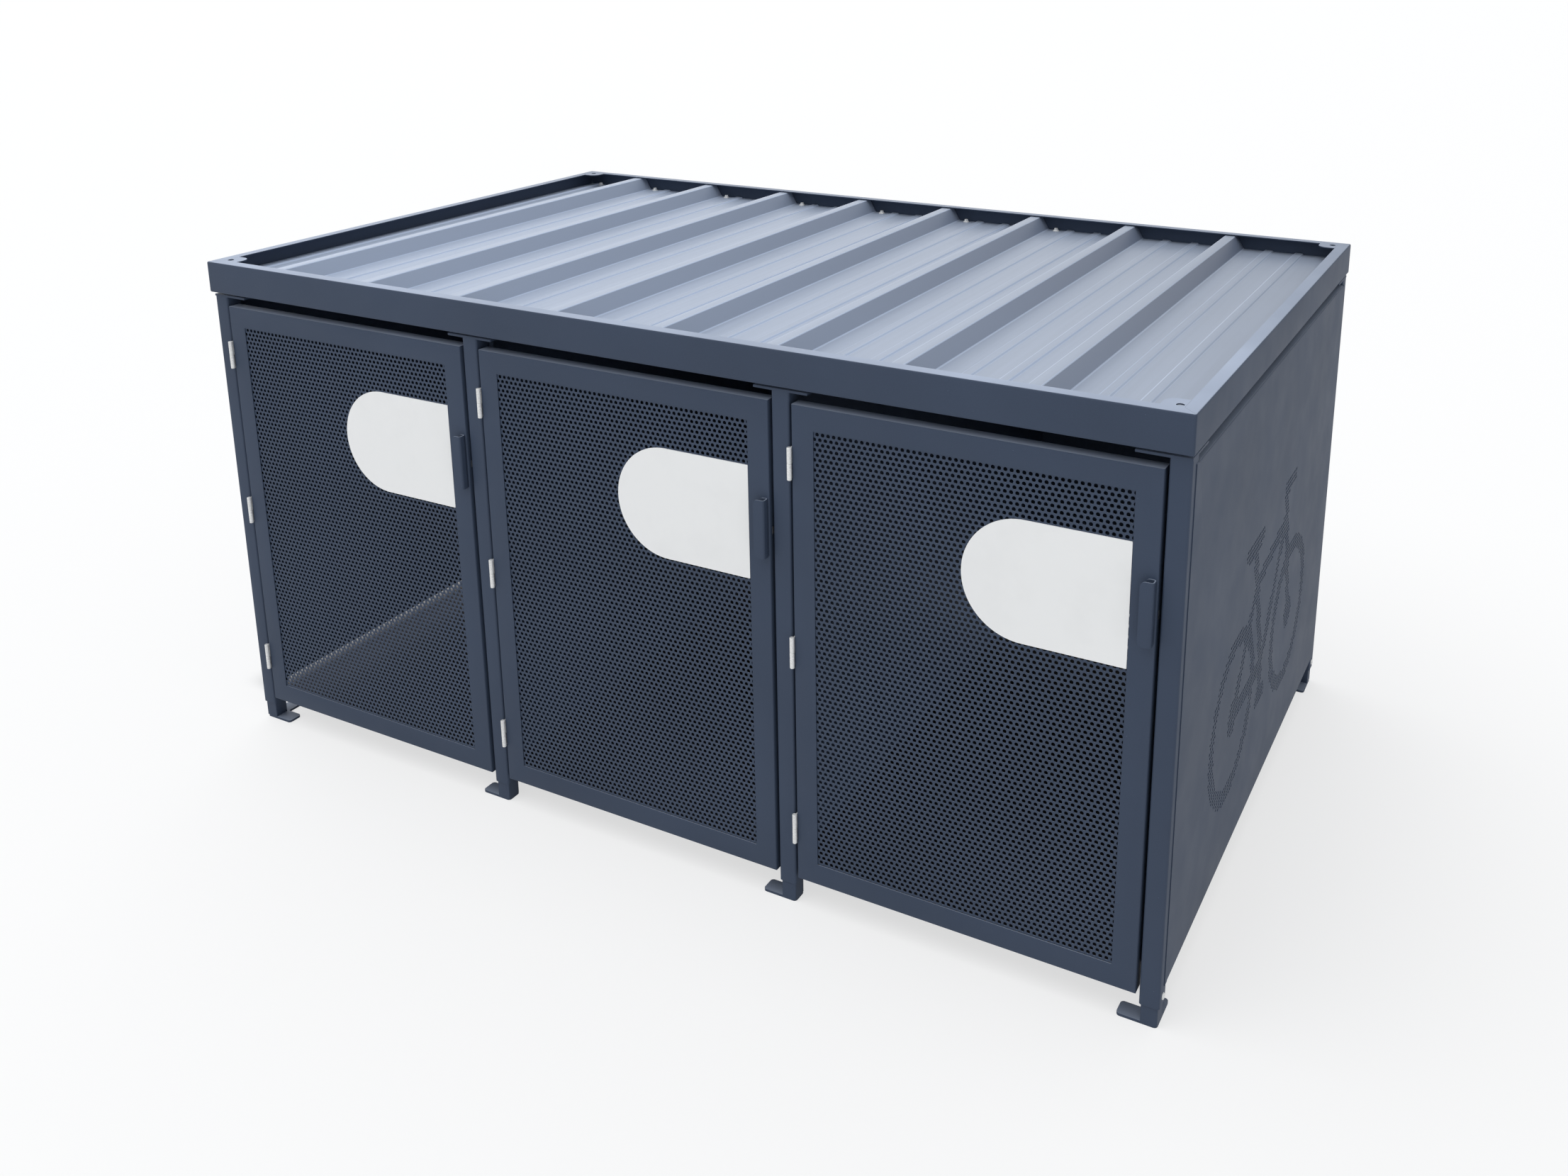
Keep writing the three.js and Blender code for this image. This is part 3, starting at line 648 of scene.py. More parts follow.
def filled(points, loops):
    """Triangles between directed loops, on their left side."""
    numbers = sorted({n for loop in loops for n in loop})
    local = {n: k for k, n in enumerate(numbers)}
    edges = [(local[a], local[b]) for loop in loops for a, b in zip(loop, loop[1:] + loop[:1])]
    places = [Vector(points[n]) for n in numbers]
    verts, _, faces, origins, _, _ = delaunay_2d_cdt(places, edges, [], 0, TINY, True)
    if len(verts) != len(numbers):
        raise RuntimeError("the sheet's outline crosses itself")
    back = {k: numbers[found[0]] for k, found in enumerate(origins)}
    triangles = [[back[k] for k in face] for face in faces]
    owner = {}
    for number, face in enumerate(triangles):
        for a, b in zip(face, face[1:] + face[:1]):
            owner[a, b] = number
    walls = {(numbers[a], numbers[b]) for a, b in edges}
    todo = [owner[edge] for edge in walls if edge in owner]
    inside = set(todo)
    while todo:
        face = triangles[todo.pop()]
        for a, b in zip(face, face[1:] + face[:1]):
            if (a, b) in walls or (b, a) in walls or (b, a) not in owner:
                continue
            other = owner[b, a]
            if other not in inside:
                inside.add(other)
                todo.append(other)
    return [triangles[number] for number in sorted(inside)]


def whole_steps(low, high):
    """The whole numbers from low to high."""
    return range(math.ceil(low), math.floor(high) + 1)


def lattice_faces(holes):
    """Faces between the rims of neighbouring holes, whose first points are given by lattice place."""

    def rim(key, number):
        return holes[key] + number % RIM_SIDES

    faces = []
    for here in holes:
        i, j = here
        east, north, west = (i + 1, j), (i, j + 1), (i - 1, j + 1)
        for number, other in enumerate((east, north, west)):
            if other in holes:
                k = 2 * number
                faces.append([rim(here, k - 1), rim(other, k + 6), rim(other, k + 5), rim(here, k)])
        if east in holes and north in holes:
            faces.append([rim(here, 0), rim(east, 5), rim(east, 4), rim(north, 9), rim(north, 8),
                          rim(here, 1)])
        if north in holes and west in holes:
            faces.append([rim(here, 2), rim(north, 7), rim(north, 6), rim(west, 11), rim(west, 10),
                          rim(here, 3)])
    return faces


def margin_edges(holes, faces):
    """Directed edges that the margin around the lattice has to meet."""
    used = {edge for face in faces for edge in zip(face, face[1:] + face[:1])}
    free = [(b, a) for a, b in used if (b, a) not in used and a // RIM_SIDES != b // RIM_SIDES]
    for start in holes.values():
        for k in range(RIM_SIDES):
            a, b = start + k, start + (k + 1) % RIM_SIDES
            if (b, a) not in used:
                free.append((b, a))
    return free


def perforated(outline, origin, pitch, radius, wanted):
    """Points and faces of a flat sheet with round holes on a triangular lattice.

    The holes' rims have twelve sides, so that between two neighbours lies a four-sided face and
    between three a six-sided one. The margin up to the outline is filled with triangles."""
    rise = pitch * math.sqrt(0.75)
    low = Vector((min(p[0] for p in outline), min(p[1] for p in outline)))
    high = Vector((max(p[0] for p in outline), max(p[1] for p in outline)))
    holes = {}
    points = []
    for j in whole_steps((low.y - origin[1]) / rise, (high.y - origin[1]) / rise):
        for i in whole_steps((low.x - origin[0]) / pitch - j / 2, (high.x - origin[0]) / pitch - j / 2):
            u, v = origin[0] + pitch * (i + j / 2), origin[1] + rise * j
            if wanted(u, v):
                holes[i, j] = len(points)
                for k in range(RIM_SIDES):
                    angle = math.tau * (k + 0.5) / RIM_SIDES
                    points.append((u + radius * math.cos(angle), v + radius * math.sin(angle)))
    faces = lattice_faces(holes)
    free = margin_edges(holes, faces)
    first = len(points)
    points.extend(tuple(p[:2]) for p in outline)
    border = list(range(first, len(points)))
    faces.extend(filled(points, loops_of(free) + [border]))
    return points, faces


def cut_sheet(outline, holes=()):
    """Points and faces of a flat sheet with an outline and holes, all given anticlockwise."""
    points = [tuple(p[:2]) for p in outline]
    loops = [list(range(len(points)))]
    for hole in holes:
        start = len(points)
        points.extend(tuple(p[:2]) for p in hole)
        loops.append(list(range(start, len(points)))[::-1])
    return points, filled(points, loops)


def add_thick(bm, points, faces, place, low, high, open_edge=None):
    """Closed sheet of some thickness from flat faces; walls are left out where open_edge says so."""
    rings = [[bm.verts.new(place(u, v, w)) for u, v in points] for w in (low, high)]
    directed = {edge for face in faces for edge in zip(face, face[1:] + face[:1])}
    for face in faces:
        bm.faces.new([rings[1][n] for n in face])
        bm.faces.new([rings[0][n] for n in face[::-1]])
    for a, b in directed:
        if (b, a) in directed or (open_edge and open_edge(points[a], points[b])):
            continue
        bm.faces.new((rings[0][a], rings[0][b], rings[1][b], rings[1][a]))


# Roof

def add_frame_side(bm, profile, half, corner, shift, steps=5):
    """Channel swept along one side, mitred at both ends, with half of each rounded upright corner."""
    rings = []
    for side in (-1, 1):
        angles = [math.radians(45.0) * step / steps for step in range(steps + 1)]
        for angle in (reversed(angles) if side < 0 else angles):
            ring = []
            for depth, z in profile:
                if depth < corner:
                    reach = corner - depth
                    x = half - corner + reach * math.sin(angle)
                    y = corner - reach * math.cos(angle)
                else:
                    x, y = half - depth, depth
                ring.append(bm.verts.new((side * (x - shift), y, z)))
            rings.append(ring)
    count = len(profile)
    for near, far in zip(rings, rings[1:]):
        for a in range(count):
            b = (a + 1) % count
            bm.faces.new((near[a], near[b], far[b], far[a]))
    bm.faces.new(rings[0][::-1])
    bm.faces.new(rings[-1])


def roof_box():
    """Lower left front and upper right back corner of the roof frame."""
    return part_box("roof_frame_front")[0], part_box("roof_frame_back")[1]


def channel_section(roof, low, high):
    """Section of the folded channel, as (distance from the outer face, height)."""
    wall, inner = roof.wall, roof.bend - roof.wall
    return rounded([
        (0.0, low.z, roof.bend), (roof.bottom_flange, low.z), (roof.bottom_flange, low.z + wall),
        (wall, low.z + wall, inner), (wall, high.z - wall, inner),
        (roof.top_flange, high.z - wall), (roof.top_flange, high.z), (0.0, high.z, roof.bend),
    ], steps=4)


def corner_plate_mesh(roof, half, end, top, placing):
    """Plate with a lifting hole at one end of a side, level with the channel's upper flange."""
    far, near = half - roof.plate, half - roof.top_flange - roof.gap
    start = roof.top_flange - roof.wall
    outline = rounded([(far, start), (near, start), (near, roof.plate, roof.plate_notch),
                       (far, roof.plate, roof.plate_radius)], steps=10)
    hole = circle(half - roof.hole_inset, roof.hole_inset, roof.hole_radius, sides=32)
    points, faces = cut_sheet(outline, [hole])
    bm = bmesh.new()
    add_thick(bm, points, faces, lambda u, v, w: (end * u, v, w), top - roof.wall, top)
    bm.transform(placing)
    return finished_mesh("corner_plate", bm)


def build_roof_frame(context):
    """Four mitred channels; the front and the back one carry the corner plates."""
    roof = context.scene.locker_roof
    low, high = roof_box()
    section = channel_section(roof, low, high)
    middle = (low + high) / 2
    width, depth = high.x - low.x, high.y - low.y
    sides = (
        ("front", width / 2, (middle.x, low.y), 0.0, True),
        ("back", width / 2, (middle.x, high.y), math.pi, True),
        ("left", depth / 2, (low.x, middle.y), -math.pi / 2, False),
        ("right", depth / 2, (high.x, middle.y), math.pi / 2, False),
    )
    for side, half, (x, y), turn, plates in sides:
        name = f"roof_frame_{side}"
        placing = Matrix.Translation((x, y, 0.0)) @ Matrix.Rotation(turn, 4, "Z")
        bm = bmesh.new()
        add_frame_side(bm, section, half, roof.corner, 0.0 if plates else roof.gap * math.sqrt(2))
        bm.transform(placing)
        made = piece(context, f"{side}_roof_channel", finished_mesh(name, bm), "powder_coat",
                     FRAME_BODY, [name])
        if plates:
            combine(made, [corner_plate_mesh(roof, half, end, high.z, placing) for end in (-1, 1)],
                    "UNION")


def roof_line(roof, left, right, height):
    """Upper line of the roof sheet above its valleys, as corners with radii."""
    line = [(left, 0.0)]

    def rise(centre, base, crest, top, bend):
        if centre - base / 2 > left and centre + base / 2 < right:
            line.extend([(centre - base / 2, 0.0, bend), (centre - crest / 2, top, bend),
                         (centre + crest / 2, top, bend), (centre + base / 2, 0.0, bend)])

    low, _ = roof_box()
    for k in range(-1, roof.ridges):
        crest = low.x + roof.first_crest + k * roof.pitch
        rise(crest, roof.base, roof.crest, height, roof.ridge_bend)
        for distance in (roof.first_swage, roof.second_swage):
            rise(crest + roof.base / 2 + distance, roof.swage_base, roof.swage_crest, roof.swage_height,
                 roof.swage_bend)
    line.append((right, 0.0))
    return line


def build_roof_sheet(context):
    """One trapezoidal sheet, folded from a single line, and the purlins that carry it."""
    roof = context.scene.locker_roof
    low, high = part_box("roof_sheet")
    valley = low.z + roof.sheet
    line = rounded(roof_line(roof, low.x, high.x, high.z - valley), steps=4)
    bm = bmesh.new()
    rows = [[bm.verts.new((u, y, valley + v)) for u, v in line] for y in (low.y, high.y)]
    for a in range(len(line) - 1):
        bm.faces.new((rows[0][a], rows[0][a + 1], rows[1][a + 1], rows[1][a]))
    mesh = finished_mesh("roof_sheet", bm, CUT_ANGLE)
    if mesh.polygons[0].normal.z < 0:
        mesh.flip_normals()
    made = piece(context, "trapezoidal_roof_sheet", mesh, "roof_coat", FRAME_BODY, ["roof_sheet"])
    thicken(made, roof.sheet)
    for name in ("purlin_front", "purlin_back"):
        dress(context, name, "powder_coat", PURLIN_EDGE)


# Posts and feet

def build_posts(context):
    """The posts and the feet in them stay as packed."""
    for corner in ("front_1", "front_2", "front_3", "front_4", "back_left", "back_right"):
        dress(context, f"post_{corner}", "powder_coat", POST_EDGE)
        dress(context, f"foot_{corner}", "powder_coat", FOOT_EDGE)


# Bicycle sign, in (distance from the panel's front edge, height above its lower edge)

SIGN_FIRST_HOLE = (0.600, 0.852)
BACK_HUB = Vector((0.531, 0.418))
FRONT_HUB = Vector((1.196, 0.416))
PEDAL_AXLE = Vector((0.845, 0.418))
CRANK_END = PEDAL_AXLE + Vector((0.008, -0.088))
PEDAL = (PEDAL_AXLE + Vector((-0.016, -0.108)), PEDAL_AXLE + Vector((0.052, -0.108)))
SEAT_JOINT = Vector((0.728, 0.703))
SEAT_CLAMP = Vector((0.678, 0.825))
SADDLE = (Vector((0.600, 0.836)), Vector((0.752, 0.836)))
HEAD = Vector((1.064, 0.756))
STEM = HEAD + Vector((-0.022, 0.104))
GRIP = HEAD + Vector((0.088, 0.108))
SIGN_BARS = (
    (BACK_HUB, PEDAL_AXLE), (BACK_HUB, SEAT_JOINT), (PEDAL_AXLE, SEAT_CLAMP), (SEAT_JOINT, HEAD),
    (PEDAL_AXLE, HEAD), (FRONT_HUB, STEM), SADDLE, (STEM, GRIP), (PEDAL_AXLE, CRANK_END), PEDAL,
)


def on_sign(walls, here):
    """Whether a place on the panel lies on the bicycle sign."""
    for hub in (BACK_HUB, FRONT_HUB):
        distance = (here - hub).length
        if distance < walls.sign_hub:
            return True
        if walls.sign_radius - walls.sign_rim < distance < walls.sign_radius:
            return True
    for start, end in SIGN_BARS:
        along = end - start
        part = max(0.0, min(1.0, (here - start).dot(along) / along.length_squared))
        if (here - start - along * part).length < walls.sign_bar / 2:
            return True
    return False


# Walls

def lip_section(walls, edge, sign):
    """Section of a lip with its bend, as (depth, height); sign is 1 for the lower edge's lip."""
    bend, wall = walls.bend, walls.wall
    turns = [math.pi / 2 * step / BEND_STEPS for step in range(BEND_STEPS + 1)]

    def arc(radius):
        return [(wall - bend + radius * math.cos(turn), edge + sign * (bend - radius * math.sin(turn)))
                for turn in turns]

    end = wall - walls.lip
    return arc(bend) + [(end, edge), (end, edge + sign * wall)] + arc(bend - wall)[::-1]


def add_panel(bm, walls, low, high, place, sheet=cut_sheet):
    """Flat skin from low to high in u and v, with lips folded back along its lower and upper edge.

    The lips end beside the posts. sheet(outline) gives the skin's points and faces."""
    bend, notch = walls.bend, walls.relief
    bottom, top = low[1], high[1]
    start, end = low[0] + walls.overlap, high[0] - walls.overlap
    points, faces = sheet([
        (low[0], bottom), (start - notch, bottom), (start - notch, bottom + bend), (start, bottom + bend),
        (end, bottom + bend), (end + notch, bottom + bend), (end + notch, bottom), (high[0], bottom),
        (high[0], top), (end + notch, top), (end + notch, top - bend), (end, top - bend),
        (start, top - bend), (start - notch, top - bend), (start - notch, top), (low[0], top),
    ])

    def folded(a, b):
        inside = start - FIT < min(a[0], b[0]) and max(a[0], b[0]) < end + FIT
        level = abs(a[1] - b[1]) < FIT
        return inside and level and (abs(a[1] - bottom - bend) < FIT or abs(a[1] - top + bend) < FIT)

    add_thick(bm, points, faces, place, 0.0, walls.wall, folded)
    for edge, sign in ((bottom, 1.0), (top, -1.0)):
        section = lip_section(walls, edge, sign)
        rows = [[bm.verts.new(place(u, v, w)) for w, v in section] for u in (start, end)]
        for a in range(len(section) - 1):
            bm.faces.new((rows[0][a], rows[0][a + 1], rows[1][a + 1], rows[1][a]))
        bm.faces.new(rows[0])
        bm.faces.new(rows[1][::-1])


def build_side_wall(context, side, sign, punched):
    """One side wall, with or without the sign punched in small holes."""
    walls, doors = context.scene.locker_walls, context.scene.locker_doors
    name = f"side_panel_{side}"
    low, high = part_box(name)
    inner = (high.x if sign > 0 else low.x) - sign * walls.wall

    def signed(outline):
        corner = Vector((low.y, low.z))
        origin = (low.y + SIGN_FIRST_HOLE[0], low.z + SIGN_FIRST_HOLE[1])
        return perforated(outline, origin, doors.pitch, doors.hole,
                          lambda u, v: on_sign(walls, Vector((u, v)) - corner))

    bm = bmesh.new()
    add_panel(bm, walls, (low.y, low.z), (high.y, high.z), lambda u, v, w: (inner + sign * w, u, v),
              signed if punched else cut_sheet)
    piece(context, f"{side}_wall_panel", finished_mesh(name, bm), "powder_coat", FRAME_BODY, [name])


def build_walls(context):
    """Both side walls, the back wall, and the partitions that stay as packed."""
    build_side_wall(context, "left", -1.0, False)
    build_side_wall(context, "right", 1.0, True)
    walls = context.scene.locker_walls
    low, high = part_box("back_panel")
    bm = bmesh.new()
    add_panel(bm, walls, (low.x, low.z), (high.x, high.z),
              lambda u, v, w: (u, high.y - walls.wall + w, v))
    piece(context, "back_wall_panel", finished_mesh("back_panel", bm), "powder_coat", FRAME_BODY,
          ["back_panel"])
    for name in ("partition_1", "partition_2"):
        dress(context, name, "powder_coat", PARTITION_EDGE)


# Doors

def door_frame_mesh(doors, name):
    """One folded section led round the four sides of a door, mitred at its corners."""
    low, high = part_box(name)
    depth = high.y - low.y
    wall, inner = doors.wall, doors.bend - doors.wall
    section = rounded([
        (doors.stile, 0.0, doors.edge), (0.0, 0.0, doors.bend), (0.0, depth, doors.bend),
        (doors.back_lip, depth, doors.edge), (doors.back_lip, depth - wall, doors.edge),
        (wall, depth - wall, inner), (wall, wall, inner), (doors.stile, wall, doors.edge),
    ], steps=4)
    bm = bmesh.new()
    loops = []
    for inset, back in section:
        corners = rectangle(low.x + inset, low.z + inset, high.x - inset, high.z - inset)
        loops.append([bm.verts.new((x, low.y + back, z)) for x, z, _ in corners])
    for near, far in zip(loops, loops[1:] + loops[:1]):
        for a in range(4):
            b = (a + 1) % 4
            bm.faces.new((near[a], far[a], far[b], near[b]))
    return finished_mesh(name, bm)


def slot_mesh(doors, bolt, stile_edge):
    """Block to be cut out of the closing stile for a lock bolt."""
    low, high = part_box(bolt)
    gap, overrun = doors.slot_gap, 0.002
    bm = bmesh.new()
    add_box(bm, (stile_edge - doors.slot_depth, low.y - gap, low.z - gap),
            (stile_edge + overrun, high.y + gap, high.z + gap))
    return finished_mesh("slot", bm)


def build_door_frames(context):
    """Folded frames, each with a slot for its lock bolt."""
    doors = context.scene.locker_doors
    for bay in BAYS:
        name = f"door_{bay}_frame"
        made = piece(context, f"door_{bay}_folded_frame", door_frame_mesh(doors, name), "powder_coat",
                     f"door_{bay}", [name])
        combine(made, [slot_mesh(doors, f"door_{bay}_lock_bolt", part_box(name)[1].x)], "DIFFERENCE")


def build_perforated_sheets(context):
    """Each door's sheet is made of an upper and a lower half, which meet between two rows of holes."""
    doors = context.scene.locker_doors
    low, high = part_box("door_1_perforated_sheet")
    width, height = high.x - low.x, high.z - low.z
    rise = doors.pitch * math.sqrt(0.75)
    origin = (doors.lap + doors.first_hole, height - doors.lap - doors.first_row)
    rows = round(height / rise / 2)
    middle = origin[1] - rise * (rows - 0.5)
    margin = doors.hole + doors.hole_margin
    for part, bottom, top in (("lower", 0.0, middle), ("upper", middle, height)):
        outline = [(0.0, bottom), (width, bottom), (width, top), (0.0, top)]

        def wanted(u, v):
            return margin < u < width - margin and bottom + margin < v < top - margin

        points, faces = perforated(outline, origin, doors.pitch, doors.hole, wanted)
        bm = bmesh.new()
        add_thick(bm, points, faces, lambda u, v, w: (u, -w, v), 0.0, doors.mesh)
        mesh = finished_mesh(f"perforated_sheet_{part}", bm)
        for bay in BAYS:
            name = f"door_{bay}_perforated_sheet"
            low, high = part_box(name)
            piece(context, f"door_{bay}_{part}_perforated_sheet", mesh, "powder_coat", f"door_{bay}",
                  [name], (low.x, high.y, low.z))


def build_plates(context):
    """Blank plates, round at their left end."""
    corner = context.scene.locker_doors.plate_corner
    for bay in BAYS:
        name = f"door_{bay}_blank_plate"
        low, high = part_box(name)
        radius = (high.z - low.z) / 2 - FIT
        outline = rounded([(low.x, low.z, radius), (high.x, low.z, corner), (high.x, high.z, corner),
                           (low.x, high.z, radius)], steps=24)
        bm = bmesh.new()
        add_prism(bm, outline, lambda u, v, w: (u, w, v), low.y, high.y)
        made = piece(context, f"door_{bay}_pale_plate", finished_mesh(name, bm), "pale_plate",
                     f"door_{bay}", [name])
        soften(made, PLATE_EDGE)


def handle_path(doors, low, high, steps=6):
    """Plan of a handle's outer face, from its front lip round two bends to its foot on the stile."""
    bend = doors.handle_bend
    path = [(low.x, low.y)]
    for centre_y, begin in ((low.y + bend, -math.pi / 2), (high.y - bend, 0.0)):
        for step in range(steps + 1):
            angle = begin + math.pi / 2 * step / steps
            path.append((high.x - bend + bend * math.cos(angle), centre_y + bend * math.sin(angle)))
    path.append((high.x - doors.handle_foot, high.y))
    return path


def point_along(path, lengths, distance):
    """Point at a distance along a path, whose points lie at the given lengths."""
    for a, b, start, end in zip(path, path[1:], lengths, lengths[1:]):
        if distance <= end + FIT:
            part = (distance - start) / (end - start)
            return a[0] + (b[0] - a[0]) * part, a[1] + (b[1] - a[1]) * part
    return path[-1]


def handle_mesh(doors, name, steps=10):
    """Outer face of a handle, bent along its plan, with its four free corners rounded."""
    low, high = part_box(name)
    radius = doors.handle_radius
    path = handle_path(doors, low, high)
    lengths = [0.0]
    for a, b in zip(path, path[1:]):
        lengths.append(lengths[-1] + math.dist(a, b))
    total = lengths[-1]
    arc = [radius * (1 - math.cos(math.pi / 2 * step / steps)) for step in range(steps + 1)]
    stops = arc + [total - distance for distance in arc] + lengths[1:-1]
    bm = bmesh.new()
    columns = []
    for distance in sorted({round(stop, 7) for stop in stops}):
        from_end = min(distance, total - distance)
        cut = 0.0
        if from_end < radius:
            cut = radius - math.sqrt(max(0.0, radius ** 2 - (radius - from_end) ** 2))
        x, y = point_along(path, lengths, distance)
        columns.append((bm.verts.new((x, y, low.z + cut)), bm.verts.new((x, y, high.z - cut))))
    for near, far in zip(columns, columns[1:]):
        bm.faces.new((near[0], far[0], far[1], near[1]))
    mesh = finished_mesh(name, bm, CUT_ANGLE)
    if mesh.polygons[0].normal.y > 0:
        mesh.flip_normals()
    return mesh


def build_handles(context):
    """Edge pulls, bent from flat bar."""
    doors = context.scene.locker_doors
    for bay in BAYS:
        name = f"door_{bay}_handle"
        made = piece(context, f"door_{bay}_edge_pull", handle_mesh(doors, name), "powder_coat",
                     f"door_{bay}", [name])
        thicken(made, doors.handle_wall)
        soften(made, HANDLE_EDGE)


def hinge_mesh(doors, half):
    """Barrel and leaf of one hinge half, with the pin on the lower one, placed as in bay 1, row 1."""
    low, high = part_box(f"hinge_1_1_{half}")
    lower = half == "post_half"
    radius, edge, leaf = doors.hinge_radius, doors.hinge_chamfer, doors.hinge_leaf
    x = low.x + radius if lower else high.x - radius
    y = low.y + radius
    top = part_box("hinge_1_1_door_half")[0].z - doors.hinge_gap if lower else high.z
    bm = bmesh.new()
    add_turned(bm, [(0.0, low.z), (radius - edge, low.z), (radius, low.z + edge), (radius, top - edge),
                    (radius - edge, top), (0.0, top)], (x, y, 0.0))
    left = x - doors.leaf_side if lower else x + doors.leaf_side - leaf
    add_box(bm, (left, y, low.z), (left + leaf, high.y, top))
    if lower:
        pin, tip = doors.pin_radius, doors.pin_tip
        add_turned(bm, [(0.0, top - tip), (pin, top - tip), (pin, high.z - tip), (pin - tip, high.z),
                        (0.0, high.z)], (x, y, 0.0))
    return finished_mesh(f"hinge_{half}", bm)


def build_hinges(context):
    """Lower halves carry the pin and stand on the posts; upper halves hang on the doors."""
    doors = context.scene.locker_doors
    for half in ("post_half", "door_half"):
        mesh = hinge_mesh(doors, half)
        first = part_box(f"hinge_1_1_{half}")[0]
        for bay in BAYS:
            body = FRAME_BODY if half == "post_half" else f"door_{bay}"
            for row in HINGE_ROWS:
                name = f"hinge_{bay}_{row}_{half}"
                piece(context, f"{name}_barrel", mesh, "zinc_steel", body, [name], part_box(name)[0] - first)


def build_locks(context):
    """The lock cases and bolts stay as packed."""
    for bay in BAYS:
        dress(context, f"door_{bay}_lock_case", "lock_steel", CASE_EDGE)
        dress(context, f"door_{bay}_lock_bolt", "lock_steel", BOLT_EDGE)


# Fasteners

def screw_mesh(fasteners):
    """Hexagon-headed roof screw on a domed washer, standing on z = 0."""
    washer, head, height = fasteners.washer, fasteners.screw_head, fasteners.screw_height
    washer_edge, dome_top, flange_low, flange_top = 0.0012, 0.0030, 0.0036, 0.0044
    dome, flange, head_top = washer * 0.7, head * 1.25, head * 0.82
    head_low, chamfer = 0.0040, 0.0008
    bm = bmesh.new()
    add_turned(bm, [(0.0, 0.0), (washer, 0.0), (washer, washer_edge), (dome, dome_top),
                    (flange, flange_low), (flange, flange_top), (0.0, flange_top)],
               (0.0, 0.0, 0.0), sides=32)
    add_turned(bm, [(0.0, head_low), (head, head_low), (head, height - chamfer), (head_top, height),
                    (0.0, height)], (0.0, 0.0, 0.0), sides=6)
    return finished_mesh("roof_screw", bm, SCREW_ANGLE)


def bolt_mesh(fasteners, steps=6):
    """Rounded bolt head standing on z = 0."""
    radius, rim = fasteners.bolt_head, fasteners.bolt_rim
    rise = fasteners.bolt_height - rim
    profile = [(0.0, 0.0), (radius, 0.0)]
    for step in range(1, steps):
        angle = math.pi / 2 * step / steps
        profile.append((radius * math.cos(angle), rim + rise * math.sin(angle)))
    profile.append((0.0, fasteners.bolt_height))
    bm = bmesh.new()
    add_turned(bm, profile, (0.0, 0.0, 0.0))
    return finished_mesh("round_bolt", bm, CUT_ANGLE)


def build_roof_screws(context):
    """A row of screws in the valleys over the back purlin."""
    fasteners, roof = context.scene.locker_fasteners, context.scene.locker_roof
    screw = screw_mesh(fasteners)
    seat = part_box("roof_sheet")[0].z + roof.sheet
    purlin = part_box("purlin_back")
    middle = (purlin[0].y + purlin[1].y) / 2
    first_crest = roof_box()[0].x + roof.first_crest
    for k in range(fasteners.screws):
        x = first_crest + roof.pitch * (k - 1) + fasteners.beside_crest
        if k == 0:
            x += fasteners.first_shift
        piece(context, f"roof_screw_back_{k + 1}", screw, "zinc_steel", FRAME_BODY, (), (x, middle, seat))


def build_clamp_bolts(context):
    """Bolt heads on the right faces of the posts at the right, which clamp the feet."""
    fasteners = context.scene.locker_fasteners
    bolt = bolt_mesh(fasteners)
    for name, front in (("post_front_4", True), ("post_back_right", False)):
        low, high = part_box(name)
        y = low.y + fasteners.bolt_inset if front else high.y - fasteners.bolt_inset
        made = piece(context, f"{name}_clamp_bolt", bolt, "zinc_steel", FRAME_BODY)
        placing = Matrix.Translation((high.x, y, low.z + fasteners.bolt_rise))
        made.matrix_world = placing @ Matrix.Rotation(math.pi / 2, 4, "Y")


# Studio

def build_camera(scene, studio):
    """The camera that took the photograph, as solved."""
    data = bpy.data.cameras.new("camera")
    data.sensor_fit = "HORIZONTAL"
    data.sensor_width = SENSOR
    data.lens = studio.lens
    data.shift_x, data.shift_y = studio.shift
    data.clip_start, data.clip_end = NEAR, FAR
    camera = bpy.data.objects.new("camera", data)
    camera.location = studio.place
    camera.rotation_euler = (math.pi / 2 - studio.tilt, 0.0, studio.azimuth)
    scene.collection.objects.link(camera)
    scene.camera = camera


def build_lamps(scene, studio):
    """Soft light from above, and a weaker one from behind at the left."""
    for name, strength, towards in (("key_light", studio.key, KEY_TOWARDS),
                                    ("back_light", studio.rim, BACK_TOWARDS)):
        lamp = bpy.data.lights.new(name, "SUN")
        lamp.energy = strength
        lamp.angle = math.radians(LAMP_SPREAD)
        holder = bpy.data.objects.new(name, lamp)
        holder.rotation_euler = Vector(towards).to_track_quat("-Z", "Y").to_euler()
        holder.location = (0.0, 0.0, LAMP_HEIGHT)
        scene.collection.objects.link(holder)


def build_sky(scene, studio):
    """Even light from all sides, which is plain white where it is seen itself."""
    world = bpy.data.worlds.new("studio")
    world.use_nodes = True
    scene.world = world
    tree = world.node_tree
    tree.nodes.clear()
    light = add_node(tree, "ShaderNodeBackground", {"Color": (*studio.sky_tone, 1.0),
                                                    "Strength": studio.sky})
    white = add_node(tree, "ShaderNodeBackground", {"Color": (1.0, 1.0, 1.0, 1.0), "Strength": 1.0})
    blend = add_node(tree, "ShaderNodeMixShader", {0: seen_rays(tree), 1: light.outputs[0],
                                                   2: white.outputs[0]})
    add_node(tree, "ShaderNodeOutputWorld", {"Surface": blend.outputs[0]})


